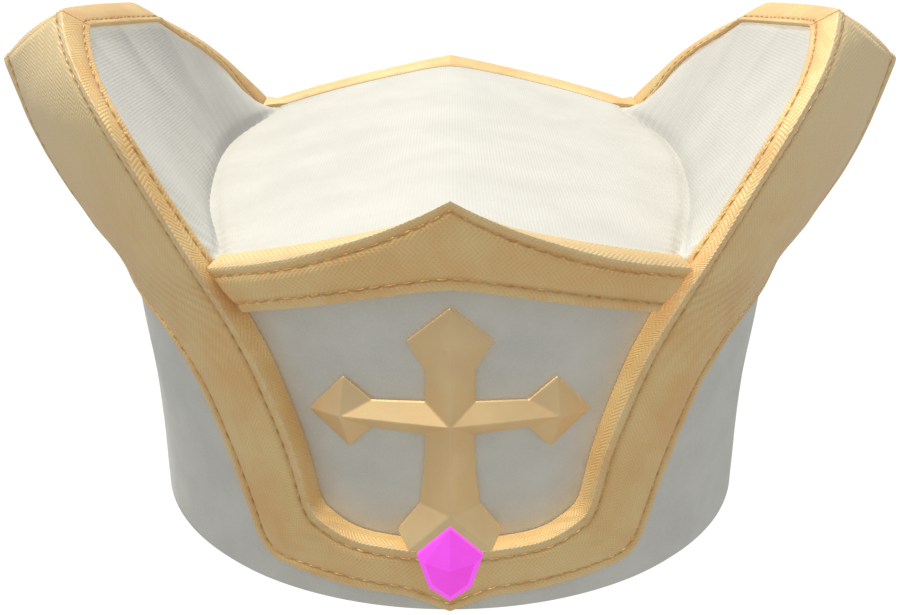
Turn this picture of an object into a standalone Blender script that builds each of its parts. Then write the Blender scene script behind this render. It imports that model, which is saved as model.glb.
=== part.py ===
"""A bishop's mitre with two side horns, as separate solid pieces.

Lengths are in millimetres until a mesh is made, which is in metres. +Z is up, -Y is the
front and +X is the wearer's left. The pieces are made with the rim's centre at the origin
and the rim on Z = 0, then moved along Y until the whole is centred over the origin.
Angles run round the cap from its middle, front or back, towards the side: 0 to 90.
"""
import math
from collections import namedtuple

import bmesh
import bpy
from mathutils import Matrix, Vector

MM = 0.001
GAP = 0.3              # space between pieces that touch
WALL = 3.0             # felt of the cap wall, the panels and the crown
TRIM = 1.2             # gold trim where it lies flat on the felt
PROUD = 1.5            # how far the trim stands over the felt
SEAT_GAP = 0.5         # space between the trim and the felt behind its curved faces
LAP = 3.2              # felt stops this far under the trim's inner border
FRONT_CORNER_LAP = 9.0             # further at the crown's corners, where the trim folds
BACK_CORNER_LAP = 20.0
TIP_LAP = 8.0                      # and this far below the ridge at a horn's tip
FOLD_START = 6.1       # trim rows between which its pad gives way to a folded strip
FOLD_END = 6.9
PANEL_LAP = 2.4        # front and back panels reach this far under the trim
PANEL_TOP_GAP = 3.9    # and stop this far below the crown's edge
PANEL_SIDE_DROP = 4.0  # their sides stop this much lower still
PAD_CORNER_SHARE = 0.1             # the trim's underside starts this far into its width
SLOPE_STEP = 0.02                  # step along a row or a share that a slope is read from
ORIENT_HEIGHT = 30.0               # a trim face looks out and up towards this height
HALVINGS = 30          # steps of the search for a trim row by its height

TRIM_SHARES = (0.0, 0.28, 0.52, 0.76, 1.0)   # lines along the trim, from its inner border
SIDE_STEPS = 7                     # faces of the cap wall from the rim up to the trim
LEAST_SIDE_SHARE = 0.6             # they take at least this share of its height
V_BAND_END_GAP = 0.02              # shares of a trim row between a V band's end and a horn cap
HORN_CAP_END_GAP = 0.04
HORN_CAP_RUNGS = (0.3, 0.65)       # rungs of a horn cap between its end and its middle

# The felt wall is round. It is nearly straight up to the brow, then flares to the horns.
WallRow = namedtuple("WallRow", "height radius")
WALL_PROFILE = (
    WallRow(0.0, 100.0),
    WallRow(36.0, 100.3),
    WallRow(60.0, 102.3),
    WallRow(80.6, 105.2),
    WallRow(92.9, 113.4),
    WallRow(115.3, 125.7),
    WallRow(140.8, 136.3),
    WallRow(142.5, 136.8),
)
FRONT_PANEL_PROFILE = (
    WallRow(14.0, 94.3),
    WallRow(45.0, 94.3),
    WallRow(68.0, 95.3),
    WallRow(81.0, 97.2),
    WallRow(94.0, 99.6),
    WallRow(118.0, 100.4),
)
BACK_PANEL_PROFILE = (
    WallRow(14.0, 94.3),
    WallRow(45.0, 94.3),
    WallRow(68.0, 95.3),
    WallRow(81.0, 97.4),
    WallRow(94.0, 100.4),
    WallRow(106.0, 104.0),
    WallRow(134.0, 105.4),
)

# The trim runs from the middle of the rim up to a horn. Each row is one rung across it,
# from its outer border on the felt to its inner border, which is a horn's ridge higher up.
# softness is how much of the corner at the row is rounded off, steps the rungs to the next.
TrimRow = namedtuple(
    "TrimRow",
    "outer_angle outer_height inner_angle inner_height inner_radius softness steps",
)
FRONT_TRIM = (
    TrimRow(0.0, 0.4, 0.0, 19.4, 101.5, 0.00, 2),
    TrimRow(6.4, 5.0, 6.6, 19.4, 101.5, 0.25, 2),
    TrimRow(16.2, 5.8, 15.9, 20.7, 101.5, 0.40, 3),
    TrimRow(31.5, 9.1, 22.0, 26.8, 101.5, 0.25, 2),
    TrimRow(37.4, 35.7, 24.4, 45.3, 101.5, 0.40, 2),
    TrimRow(43.4, 59.9, 29.6, 67.9, 102.6, 0.40, 2),
    TrimRow(51.5, 71.6, 33.5, 81.0, 104.8, 0.40, 3),
    TrimRow(68.6, 80.6, 37.3, 94.1, 108.4, 0.35, 2),
    TrimRow(72.9, 92.9, 43.3, 108.2, 110.0, 0.45, 3),
    TrimRow(76.0, 115.3, 53.9, 134.7, 116.1, 0.45, 4),
    TrimRow(81.5, 140.8, 72.7, 156.1, 116.5, 0.10, 2),
    TrimRow(90.0, 141.8, 90.0, 156.0, 112.3, 0.00, 0),
)
BACK_TRIM = FRONT_TRIM[:6] + (
    TrimRow(51.5, 71.6, 34.6, 87.0, 106.4, 0.40, 3),
    TrimRow(68.6, 80.6, 37.4, 101.5, 113.0, 0.40, 2),
    TrimRow(72.9, 92.9, 39.9, 115.0, 118.6, 0.35, 3),
    TrimRow(76.0, 115.3, 53.3, 139.5, 118.2, 0.45, 4),
    TrimRow(81.5, 140.8, 72.7, 155.1, 116.5, 0.10, 2),
    FRONT_TRIM[-1],
)
SIDE_ROW = len(FRONT_TRIM) - 1     # the rung at the middle of a horn
HORN_TIP_ROW = SIDE_ROW - 1        # the rung where the trim turns over a horn's top

# Over the horns the trim is folded in: the inner border of the strip that lies inside.
StripRow = namedtuple("StripRow", "row angle height radius softness")
STRIP_START = 0.5                  # it starts this much of a row before its first row
FRONT_STRIP = (
    StripRow(7, 38.1, 94.9, 101.1, 0.0),
    StripRow(8, 43.6, 106.8, 103.6, 0.45),
    StripRow(9, 52.9, 131.9, 110.0, 0.45),
    StripRow(10, 73.7, 151.5, 109.1, 0.1),
    StripRow(11, 90.0, 150.4, 103.1, 0.0),
)
BACK_STRIP = (
    StripRow(7, 37.6, 101.0, 103.0, 0.0),
    StripRow(8, 44.6, 111.6, 111.8, 0.45),
    StripRow(9, 53.3, 133.5, 111.0, 0.45),
    StripRow(10, 71.1, 149.2, 107.2, 0.1),
    StripRow(11, 90.0, 150.4, 103.1, 0.0),
)

# The crown: the crease between a horn and the top, from the front corner to the back one.
CreaseRow = namedtuple("CreaseRow", "along x y z")
CREASE = (
    CreaseRow(0.00, 60.4, -78.9, 95.4),
    CreaseRow(0.40, 76.5, -17.0, 99.0),
    CreaseRow(0.72, 81.0, 38.0, 105.0),
    CreaseRow(1.00, 68.8, 78.1, 112.0),
)
CROWN_FRONT_PEAK = 110.6           # height of the crown's middle at the front
CROWN_BACK_PEAK = 125.0            # and at the back
CROWN_SAG = 4.0                    # dip of its middle between them
CROWN_RIDGE_SOFTNESS = 0.07        # share of the slope that is rounded at the ridge
CROWN_BOW = 80.0                   # its rows are round: half width over this, as a slope
CROWN_ORIENT_HEIGHT = 200.0        # its outer face looks in and up towards this height
CROWN_EDGE_GAP = 0.6               # its front and back edges stay this far inside the bands
HEM_SHARE = 0.25                   # the crown's hem lies this far under a horn's strip
HEM_START = 0.1                    # less at its corners, growing over part of a trim row
HEM_RUN = 0.7
CROWN_FRONT_CORNER = 7             # trim row where its edge starts at the front
CROWN_BACK_CORNER = 8              # and at the back

# Bands over the panels: the face's height at the middle and at parts of the half width.
BandRow = namedtuple("BandRow", "share bottom top")
BROW_ROWS = (
    BandRow(0.00, 94.5, 116.9),
    BandRow(0.10, 93.9, 113.3),
    BandRow(0.28, 91.9, 107.9),
    BandRow(0.62, 87.5, 99.9),
    BandRow(1.00, 82.8, 93.6),
)
NAPE_ROWS = (
    BandRow(0.00, 110.5, 130.0),
    BandRow(0.50, 104.3, 122.4),
    BandRow(1.00, 98.0, 114.8),
)
BROW_THICKNESS = 5.2
NAPE_THICKNESS = 7.4
BAND_BACK_RISE = 0.8               # its back edge stands this far over the crown's edge
BAND_END_GAP = 0.5
BROW_END_SLANT = 2.2               # its face stops this many degrees short at the bottom
NAPE_TOP_SPAN = 0.985              # share of its half width where its top starts to flare out
NAPE_BOTTOM_SPAN = 0.95            # and its bottom, to meet the step up to the trim
NAPE_FLARE_GAP = 0.8
NAPE_FOOT_SHARE = 0.15             # its flared end starts this far up that step

# The cross, measured on the panel: across from the middle, up, and out from the panel.
CROSS_BACK_GAP = 0.5
CROSS_RIM = 0.8
CrossPoint = namedtuple("CrossPoint", "across up out")
CROSS_MIDDLE = {
    "top_tip": CrossPoint(0.0, 88.2, CROSS_RIM),
    "top_apex": CrossPoint(0.0, 77.9, 4.8),
    "top_neck": CrossPoint(0.0, 71.2, 5.2),
    "heart": CrossPoint(0.0, 56.6, 7.4),
    "shaft": CrossPoint(0.0, 43.4, 7.3),
    "foot_peak": CrossPoint(0.0, 30.3, 6.9),
    "foot": CrossPoint(0.0, 20.4, 6.7),
}
CROSS_SIDE = {
    "top_corner": CrossPoint(11.1, 78.4, CROSS_RIM),
    "top_neck_edge": CrossPoint(6.5, 70.2, CROSS_RIM),
    "upper_elbow": CrossPoint(6.4, 61.1, CROSS_RIM),
    "lower_elbow": CrossPoint(6.4, 51.4, CROSS_RIM),
    "arm_upper": CrossPoint(13.5, 61.0, CROSS_RIM),
    "arm_ridge": CrossPoint(12.7, 56.8, 5.6),
    "arm_lower": CrossPoint(13.6, 52.1, CROSS_RIM),
    "wrist_upper": CrossPoint(20.7, 60.7, CROSS_RIM),
    "wrist_ridge": CrossPoint(19.6, 56.9, 5.2),
    "wrist_lower": CrossPoint(20.7, 52.5, CROSS_RIM),
    "hand_upper": CrossPoint(28.3, 66.7, CROSS_RIM),
    "hand_apex": CrossPoint(27.7, 57.1, 5.8),
    "hand_lower": CrossPoint(27.2, 46.2, CROSS_RIM),
    "hand_tip": CrossPoint(38.6, 55.6, CROSS_RIM),
    "shaft_edge": CrossPoint(6.9, 40.8, CROSS_RIM),
    "ankle_edge": CrossPoint(8.0, 30.8, CROSS_RIM),
    "foot_edge": CrossPoint(13.8, 23.1, 2.8),
    "foot_shoulder": CrossPoint(10.5, 20.4, 6.7),
}
CROSS_FACES = (
    ("top_tip", "top_apex", "top_corner"),
    ("top_corner", "top_apex", "top_neck", "top_neck_edge"),
    ("top_neck_edge", "top_neck", "heart", "upper_elbow"),
    ("upper_elbow", "heart", "arm_ridge", "arm_upper"),
    ("heart", "lower_elbow", "arm_lower", "arm_ridge"),
    ("arm_upper", "arm_ridge", "wrist_ridge", "wrist_upper"),
    ("arm_ridge", "arm_lower", "wrist_lower", "wrist_ridge"),
    ("wrist_upper", "wrist_ridge", "hand_apex"),
    ("wrist_upper", "hand_apex", "hand_upper"),
    ("wrist_ridge", "wrist_lower", "hand_lower", "hand_apex"),
    ("hand_upper", "hand_apex", "hand_tip"),
    ("hand_apex", "hand_lower", "hand_tip"),
    ("heart", "shaft", "shaft_edge", "lower_elbow"),
    ("shaft", "foot_peak", "ankle_edge", "shaft_edge"),
    ("ankle_edge", "foot_peak", "foot_shoulder", "foot_edge"),
    ("foot_peak", "foot", "foot_shoulder"),
)

# The stone, by its half outline: its back stands just clear of the trim.
STONE_BACK = 102.6
STONE_GIRDLE = 1.6                 # height of its upright edge
StonePoint = namedtuple("StonePoint", "across up out")
STONE_OUTLINE = (
    StonePoint(0.0, 28.2, STONE_GIRDLE),
    StonePoint(8.8, 20.1, STONE_GIRDLE),
    StonePoint(5.7, 10.1, STONE_GIRDLE),
    StonePoint(0.0, 5.9, STONE_GIRDLE),
)
STONE_CROWN = (                    # the corners of its lower front facets, below the apex
    StonePoint(6.7, 18.7, 3.2),
    StonePoint(4.8, 12.1, 2.9),
    StonePoint(0.0, 8.0, 2.7),
)
STONE_APEX = StonePoint(0.0, 17.5, 5.2)


def smooth_read(table, column, key, value):
    """Read one column of a table on a smooth curve through its rows."""
    keys = [getattr(row, column) for row in table]
    if key <= keys[0]:
        return getattr(table[0], value)
    if key >= keys[-1]:
        return getattr(table[-1], value)
    last = max(i for i in range(len(keys) - 1) if keys[i] <= key)
    points = [getattr(row, value) for row in table]

    def slope(i):
        low, high = max(i - 1, 0), min(i + 1, len(keys) - 1)
        return (points[high] - points[low]) / (keys[high] - keys[low])

    width = keys[last + 1] - keys[last]
    t = (key - keys[last]) / width
    start, end = slope(last) * width, slope(last + 1) * width
    return (
        (2 * t**3 - 3 * t**2 + 1) * points[last]
        + (t**3 - 2 * t**2 + t) * start
        + (3 * t**2 - 2 * t**3) * points[last + 1]
        + (t**3 - t**2) * end
    )


def wall_radius(height):
    return smooth_read(WALL_PROFILE, "height", height, "radius")


def polar(angle, radius, height):
    turn = math.radians(angle)
    return Vector((radius * math.sin(turn), -radius * math.cos(turn), height))


def rounded_read(rows, t, columns):
    """Read columns along straight runs between rows, with the corners rounded off."""
    nearest = min(max(round(t), 0), len(rows) - 1)
    soft = rows[nearest].softness

    def straight(u):
        low = min(max(int(u), 0), len(rows) - 2)
        share = u - low
        return [
            getattr(rows[low], c) * (1 - share) + getattr(rows[low + 1], c) * share
            for c in columns
        ]

    if soft == 0 or abs(t - nearest) >= soft or nearest in (0, len(rows) - 1):
        return straight(t)
    share = (t - nearest + soft) / (2 * soft)
    before, corner, after = straight(nearest - soft), straight(nearest), straight(nearest + soft)
    return [
        (1 - share) ** 2 * a + 2 * share * (1 - share) * b + share**2 * c
        for a, b, c in zip(before, corner, after)
    ]


class Trim:
    """The gold trim's surface in one quarter of the cap: x over 0, y below 0."""

    def __init__(self, rows, strip, panel_profile, corner_row, corner_lap):
        self.rows = rows
        self.corner_row = corner_row
        self.corner_lap = corner_lap
        self.strip = strip
        self.panel_profile = panel_profile

    def borders(self, t):
        columns = ("outer_angle", "outer_height", "inner_angle", "inner_height", "inner_radius")
        return rounded_read(self.rows, t, columns)

    def skin(self, t, share):
        """A point of the outer face: share 0 at the inner border, 1 at the outer one."""
        if t < 0:
            point = self.skin(-t, share)
            return Vector((-point.x, point.y, point.z))
        if t > SIDE_ROW:
            point = self.skin(2 * SIDE_ROW - t, share)
            return Vector((point.x, -point.y, point.z))
        outer_angle, outer_height, angle, height, radius = self.borders(t)
        outer_radius = wall_radius(outer_height) + PROUD
        return polar(
            angle + (outer_angle - angle) * share,
            radius + (outer_radius - radius) * share,
            height + (outer_height - height) * share,
        )

    def floor(self, t):
        """Where the step down from the inner border meets the panel."""
        _, _, angle, height, _ = self.borders(t)
        radius = smooth_read(self.panel_profile, "height", height, "radius")
        return polar(angle, radius + GAP, height)

    def strip_border(self, t):
        """The inner border of the strip inside a horn, or the foot of the step below it."""
        first = self.strip[0]
        if t <= first.row - STRIP_START:
            return self.floor(t)
        if t <= first.row:
            share = (t - first.row + STRIP_START) / STRIP_START
            return self.floor(t).lerp(polar(first.angle, first.radius, first.height), share)
        return polar(*rounded_read(self.strip, t - first.row, ("angle", "radius", "height")))

    def fold(self, t):
        """0 where the trim is a pad on the body, 1 where it is a folded strip on a horn."""
        share = min(max((t - FOLD_START) / (FOLD_END - FOLD_START), 0.0), 1.0)
        return share * share * (3 - 2 * share)

    def outward(self, t, share):
        """The way that the trim's face looks."""
        along = self.skin(t + SLOPE_STEP, share) - self.skin(t - SLOPE_STEP, share)
        across = self.skin(t, share + SLOPE_STEP) - self.skin(t, share - SLOPE_STEP)
        normal = along.cross(across).normalized()
        point = self.skin(t, share)
        if normal.dot(Vector((point.x, point.y, ORIENT_HEIGHT))) < 0:
            normal.negate()
        if t <= 0:
            normal.x = 0
        return normal.normalized()

    def inward_way(self, t, share):
        """The way from the trim's face into the felt."""
        point = self.skin(t, share)
        radial = Vector((point.x, point.y, 0)).normalized()
        return -radial.lerp(self.outward(t, share), self.fold(t)).normalized()

    def strip_outward(self, t):
        """The way that the strip inside a horn faces."""
        ridge = self.skin(t, 0)
        along = self.skin(t + SLOPE_STEP, 0) - self.skin(t - SLOPE_STEP, 0)
        normal = along.cross(self.strip_border(t) - ridge).normalized()
        if normal.dot(self.skin(t, 1) - ridge) > 0:
            normal.negate()
        return normal

    def thickness(self, t, share):
        """Thick as a pad at its inner border on the body, thin on a horn."""
        step_depth = (self.skin(t, 0) - self.strip_border(t)).length
        padded = step_depth + (TRIM - step_depth) * share
        return padded + (TRIM - padded) * self.fold(t)

    def underside(self, t, share):
        return self.skin(t, share) + self.inward_way(t, share) * self.thickness(t, share)

    def section(self, t, shares):
        """The closed outline across the trim at t, as points in order."""
        face = [self.skin(t, share) for share in reversed(shares)]
        border = self.strip_border(t)
        ridge = self.skin(t, 0)
        fold = self.fold(t)
        strip_way = self.strip_outward(t)
        face_way = self.outward(t, 0)
        folded_corner = ridge - (strip_way + face_way) * (TRIM / (1 + strip_way.dot(face_way)))
        folded_border = border - strip_way * TRIM
        padded_corner = self.underside(t, PAD_CORNER_SHARE)
        padded_border = border.lerp(padded_corner, 0.5)
        under = [padded_corner.lerp(folded_corner, fold)]
        under += [self.underside(t, share) for share in shares[1:]]
        return face + [border, padded_border.lerp(folded_border, fold)] + under

    def seat(self, t, share):
        """The felt's outer face below the trim."""
        return self.underside(t, share) + self.inward_way(t, share) * SEAT_GAP

    def seat_start(self, t):
        """How far from the inner border the felt starts, as a share of the trim's width."""
        width = (self.skin(t, 1) - self.skin(t, 0)).length
        climb = (t - self.corner_row) / (HORN_TIP_ROW - self.corner_row)
        horn_lap = self.corner_lap + (TIP_LAP - self.corner_lap) * min(max(climb, 0.0), 1.0)
        return (LAP + (horn_lap - LAP) * self.fold(t)) / width


FRONT = Trim(FRONT_TRIM, FRONT_STRIP, FRONT_PANEL_PROFILE, CROWN_FRONT_CORNER, FRONT_CORNER_LAP)
BACK = Trim(BACK_TRIM, BACK_STRIP, BACK_PANEL_PROFILE, CROWN_BACK_CORNER, BACK_CORNER_LAP)
Quarter = namedtuple("Quarter", "trim side face")
FRONT_LEFT = Quarter(FRONT, 1, 1)
FRONT_RIGHT = Quarter(FRONT, -1, 1)
BACK_LEFT = Quarter(BACK, 1, -1)
BACK_RIGHT = Quarter(BACK, -1, -1)


def placed(quarter, point):
    """Turn a point of the first quarter into the given one."""
    return Vector((point.x * quarter.side, point.y * quarter.face, point.z))


def rungs(rows, start, end):
    """The places of the rungs from one row to another, by each row's own steps."""
    places = []
    for row in range(start, end):
        places += [row + i / rows[row].steps for i in range(rows[row].steps)]
    return places + [float(end)]


def vertex_normals(grid, closed):
    """Normals of a grid of points, rows by columns, from its neighbours."""
    count, width = len(grid), len(grid[0])
    normals = []
    for i in range(count):
        low, high = (i - 1, (i + 1) % count) if closed else (max(i - 1, 0), min(i + 1, count - 1))
        line = []
        for k in range(width):
            along = grid[high][k] - grid[low][k]
            across = grid[i][min(k + 1, width - 1)] - grid[i][max(k - 1, 0)]
            line.append(along.cross(across).normalized())
        normals.append(line)
    return normals


def add_object(name, points, faces, material, sharp_angle=30):
    """Make a closed mesh object from points in millimetres."""
    mesh = bpy.data.meshes.new(name)
    mesh.from_pydata([point * MM for point in points], [], faces)
    shape = bmesh.new()
    shape.from_mesh(mesh)
    bmesh.ops.triangulate(shape, faces=shape.faces[:])
    bmesh.ops.recalc_face_normals(shape, faces=shape.faces[:])
    if shape.calc_volume(signed=True) < 0:
        bmesh.ops.reverse_faces(shape, faces=shape.faces[:])
    shape.to_mesh(mesh)
    shape.free()
    mesh.shade_smooth()
    mesh.set_sharp_from_angle(angle=math.radians(sharp_angle))
    mesh.materials.append(material)
    thing = bpy.data.objects.new(name, mesh)
    bpy.context.collection.objects.link(thing)
    return thing


def skin_sections(sections, closed):
    """Faces between closed outlines of the same number of points."""
    width = len(sections[0])
    points = [point for section in sections for point in section]
    faces = []
    count = len(sections)
    for i in range(count if closed else count - 1):
        first, second = i * width, ((i + 1) % count) * width
        for k in range(width):
            after = (k + 1) % width
            faces.append((first + k, first + after, second + after, second + k))
    return points, faces


def strip_end_faces(start, width):
    """Close the end of an outline whose first half runs beside its second half."""
    faces = []
    for k in range(width // 2 - 1):
        faces.append((start + k, start + k + 1, start + width - 2 - k, start + width - 1 - k))
    return faces


def add_slab(name, outer, inner, material):
    """A solid between two grids of points of the same size."""
    count, width = len(outer), len(outer[0])
    points = [p for row in outer for p in row] + [p for row in inner for p in row]
    below = count * width

    def at(i, k, layer=0):
        return layer * below + i * width + k

    faces = []
    for i in range(count - 1):
        for k in range(width - 1):
            faces.append((at(i, k), at(i, k + 1), at(i + 1, k + 1), at(i + 1, k)))
            faces.append((at(i, k, 1), at(i + 1, k, 1), at(i + 1, k + 1, 1), at(i, k + 1, 1)))
    for i in range(count - 1):
        for k in (0, width - 1):
            faces.append((at(i, k), at(i + 1, k), at(i + 1, k, 1), at(i, k, 1)))
    for k in range(width - 1):
        for i in (0, count - 1):
            faces.append((at(i, k), at(i, k + 1), at(i, k + 1, 1), at(i, k, 1)))
    return add_object(name, points, faces, material)


def material(name, colour, roughness, metallic=0.0):
    made = bpy.data.materials.new(name)
    made.use_nodes = True
    shader = made.node_tree.nodes["Principled BSDF"]
    shader.inputs["Base Color"].default_value = (*colour, 1.0)
    shader.inputs["Roughness"].default_value = roughness
    shader.inputs["Metallic"].default_value = metallic
    return made


def wall_column(quarter, t):
    """The cap wall's outer face at one rung, from the rim up to its edge under the trim."""
    trim = quarter.trim
    start = trim.seat_start(t)
    angle, border = trim.borders(t)[:2]
    edge_height = trim.skin(t, start).z
    split = max(border, LEAST_SIDE_SHARE * edge_height)

    def share_at(height):
        return 1 - (height - border) / (edge_height - border) * (1 - start)

    column = []
    for i in range(SIDE_STEPS + 1):
        height = split * i / SIDE_STEPS
        if height < border:
            column.append(polar(angle, wall_radius(height), height))
        else:
            column.append(trim.seat(t, share_at(height)))
    low = share_at(split)
    for share in reversed(TRIM_SHARES[:-1]):
        column.append(trim.seat(t, start + (low - start) * share))
    return [placed(quarter, point) for point in column]


def build_cap_wall(felt):
    front = rungs(FRONT_TRIM, 0, SIDE_ROW)
    back = rungs(BACK_TRIM, 0, SIDE_ROW)
    stations = [(FRONT_LEFT, t) for t in front]
    stations += [(BACK_LEFT, t) for t in reversed(back[:-1])]
    stations += [(BACK_RIGHT, t) for t in back[1:]]
    stations += [(FRONT_RIGHT, t) for t in reversed(front[1:-1])]
    outer = [wall_column(quarter, t) for quarter, t in stations]
    normals = vertex_normals(outer, closed=True)
    sections = []
    for column, ways in zip(outer, normals):
        inner = []
        for point, way in zip(column, ways):
            if way.dot(Vector((point.x, point.y, 0))) < 0:
                way = -way
            inner.append(point - way * WALL)
        rim = column[0]
        inner[0] = rim - Vector((rim.x, rim.y, 0)).normalized() * WALL
        sections.append(column + list(reversed(inner)))
    points, faces = skin_sections(sections, closed=True)
    return add_object("cap_wall", points, faces, felt)


def build_v_band(name, left, right, gold):
    places = rungs(left.trim.rows, 0, HORN_TIP_ROW)
    places[-1] -= V_BAND_END_GAP
    stations = [(right, t) for t in reversed(places[1:])] + [(left, t) for t in places]
    sections = []
    for quarter, t in stations:
        sections.append([placed(quarter, p) for p in quarter.trim.section(t, TRIM_SHARES)])
    points, faces = skin_sections(sections, closed=False)
    width = len(sections[0])
    faces += strip_end_faces(0, width) + strip_end_faces(len(points) - width, width)
    return add_object(name, points, faces, gold)


def build_horn_cap(name, front, back, gold):
    places = [HORN_TIP_ROW + part for part in (HORN_CAP_END_GAP, *HORN_CAP_RUNGS)]
    stations = [(front, t) for t in places] + [(front, float(SIDE_ROW))]
    stations += [(back, t) for t in reversed(places)]
    sections = []
    for quarter, t in stations:
        sections.append([placed(quarter, p) for p in quarter.trim.section(t, TRIM_SHARES)])
    points, faces = skin_sections(sections, closed=False)
    width = len(sections[0])
    faces += strip_end_faces(0, width) + strip_end_faces(len(points) - width, width)
    return add_object(name, points, faces, gold)


def row_at(trim, height):
    """The trim row whose inner border is at a height, below the horns."""
    low, high = 1.0, float(trim.corner_row)
    for _ in range(HALVINGS):
        middle = (low + high) / 2
        if trim.borders(middle)[3] < height:
            low = middle
        else:
            high = middle
    return low


def crown_edge_height(corner, peak, share):
    """The crown's edge over a panel: straight from its corner to a peak in the middle."""
    soft = CROWN_RIDGE_SOFTNESS
    spread = math.sqrt(share * share + soft * soft) - soft
    full = math.sqrt(1 + soft * soft) - soft
    return peak + (corner - peak) * spread / full


def crease_point(along):
    return Vector([smooth_read(CREASE, "along", along, axis) for axis in ("x", "y", "z")])


def build_crown_top(cloth):
    """One sheet: up inside the left horn, over the top of the cap and up the right horn."""
    horn_steps, top_steps = 4, 6
    front = rungs(FRONT_TRIM, CROWN_FRONT_CORNER, SIDE_ROW)
    back = rungs(BACK_TRIM, CROWN_BACK_CORNER, SIDE_ROW)
    stations = [(FRONT_LEFT, t) for t in front] + [(BACK_LEFT, t) for t in reversed(back[:-1])]
    hems, folds = [], []
    for quarter, t in stations:
        trim = quarter.trim
        below_strip = trim.strip_outward(t) * (TRIM + SEAT_GAP)
        border = trim.strip_border(t)
        lap = HEM_SHARE * min(max(t - trim.corner_row, HEM_START) / HEM_RUN, 1.0)
        hem = border.lerp(trim.skin(t, 0), lap) - below_strip
        hems.append(placed(quarter, hem))
        folds.append(placed(quarter, border - below_strip))
    lengths = [0.0]
    for before, after in zip(hems, hems[1:]):
        lengths.append(lengths[-1] + (after - before).length)
    front_radius = smooth_read(FRONT_PANEL_PROFILE, "height", CROWN_FRONT_PEAK, "radius")
    back_radius = smooth_read(BACK_PANEL_PROFILE, "height", CROWN_BACK_PEAK, "radius")
    front_radius -= CROWN_EDGE_GAP
    back_radius -= CROWN_EDGE_GAP
    outer = []
    for hem, fold, length in zip(hems, folds, lengths):
        along = length / lengths[-1]
        crease = crease_point(along)
        middle_y = -front_radius + (front_radius + back_radius) * along
        peak = CROWN_FRONT_PEAK + (CROWN_BACK_PEAK - CROWN_FRONT_PEAK) * along
        peak -= CROWN_SAG * 4 * along * (1 - along)
        spread = math.atan2(crease.x, CROWN_BOW)
        half = [hem] + [fold.lerp(crease, i / horn_steps) for i in range(horn_steps)]
        for i in range(top_steps + 1):
            share = 1 - i / top_steps
            x = crease.x * math.sin(share * spread) / math.sin(spread)
            bow = (1 - math.cos(share * spread)) / (1 - math.cos(spread))
            y = middle_y + (crease.y - middle_y) * bow
            half.append(Vector((x, y, crown_edge_height(crease.z, peak, share))))
        mirrored = [Vector((-p.x, p.y, p.z)) for p in reversed(half[:-1])]
        outer.append(half + mirrored)
    normals = vertex_normals(outer, closed=False)
    inner = []
    for row, ways in zip(outer, normals):
        line = []
        for point, way in zip(row, ways):
            if way.dot(Vector((-point.x, 0, CROWN_ORIENT_HEIGHT))) < 0:
                way = -way
            line.append(point - way * WALL)
        inner.append(line)
    return add_slab("crown_top", outer, inner, cloth)


def panel_outline(trim, corner_row):
    """Rows of a panel: its half width in degrees and height, widened under the trim."""
    outline = []
    for t in rungs(trim.rows, 1, corner_row):
        before, after = trim.borders(t - SLOPE_STEP), trim.borders(t + SLOPE_STEP)
        radius = smooth_read(trim.panel_profile, "height", before[3], "radius")
        per_degree = radius * math.pi / 180
        run = (after[2] - before[2]) * per_degree
        rise = after[3] - before[3]
        length = math.hypot(run, rise)
        here = trim.borders(t)
        angle = here[2] + PANEL_LAP * rise / length / per_degree
        height = here[3] - PANEL_LAP * run / length
        if t <= 1:
            height = here[3] - PANEL_LAP
        outline.append((angle, height))
    return outline


def build_panel(name, trim, face, corner_row, crease_end, peak, felt):
    columns, top_rows = 8, 3
    outline = panel_outline(trim, corner_row)
    top_angle = math.degrees(math.atan2(crease_end.x, abs(crease_end.y)))
    below_crown = crease_end.z - PANEL_TOP_GAP - PANEL_SIDE_DROP
    rows = [row for row in outline if row[1] < below_crown]
    outer, inner = [], []

    def panel_row(heights, angles):
        for layer, depth in ((outer, 0.0), (inner, WALL)):
            line = []
            for height, angle in zip(heights, angles):
                radius = smooth_read(trim.panel_profile, "height", height, "radius")
                point = polar(angle, radius - depth, height)
                line.append(Vector((point.x, point.y * face, point.z)))
            layer.append(line)

    shares = [-1 + 2 * i / columns for i in range(columns + 1)]
    for angle, height in rows:
        panel_row([height] * len(shares), [angle * share for share in shares])
    last_angle, last_height = rows[-1]
    for i in range(1, top_rows + 1):
        rise = i / top_rows
        angle = last_angle + (top_angle - last_angle) * rise
        heights = []
        for share in shares:
            top = crown_edge_height(crease_end.z, peak, abs(share)) - PANEL_TOP_GAP
            heights.append(last_height + (top - last_height) * rise)
        panel_row(heights, [angle * share for share in shares])
    return add_slab(name, outer, inner, felt)


def flared_end(trim, height):
    """Face and back point of a band's end that lies along the step up to the trim."""
    t = row_at(trim, height)
    ridge, border = trim.skin(t, 0), trim.strip_border(t)
    clear = trim.strip_outward(t) * NAPE_FLARE_GAP
    return ridge + clear, border.lerp(ridge, NAPE_FOOT_SHARE) + clear


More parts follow.
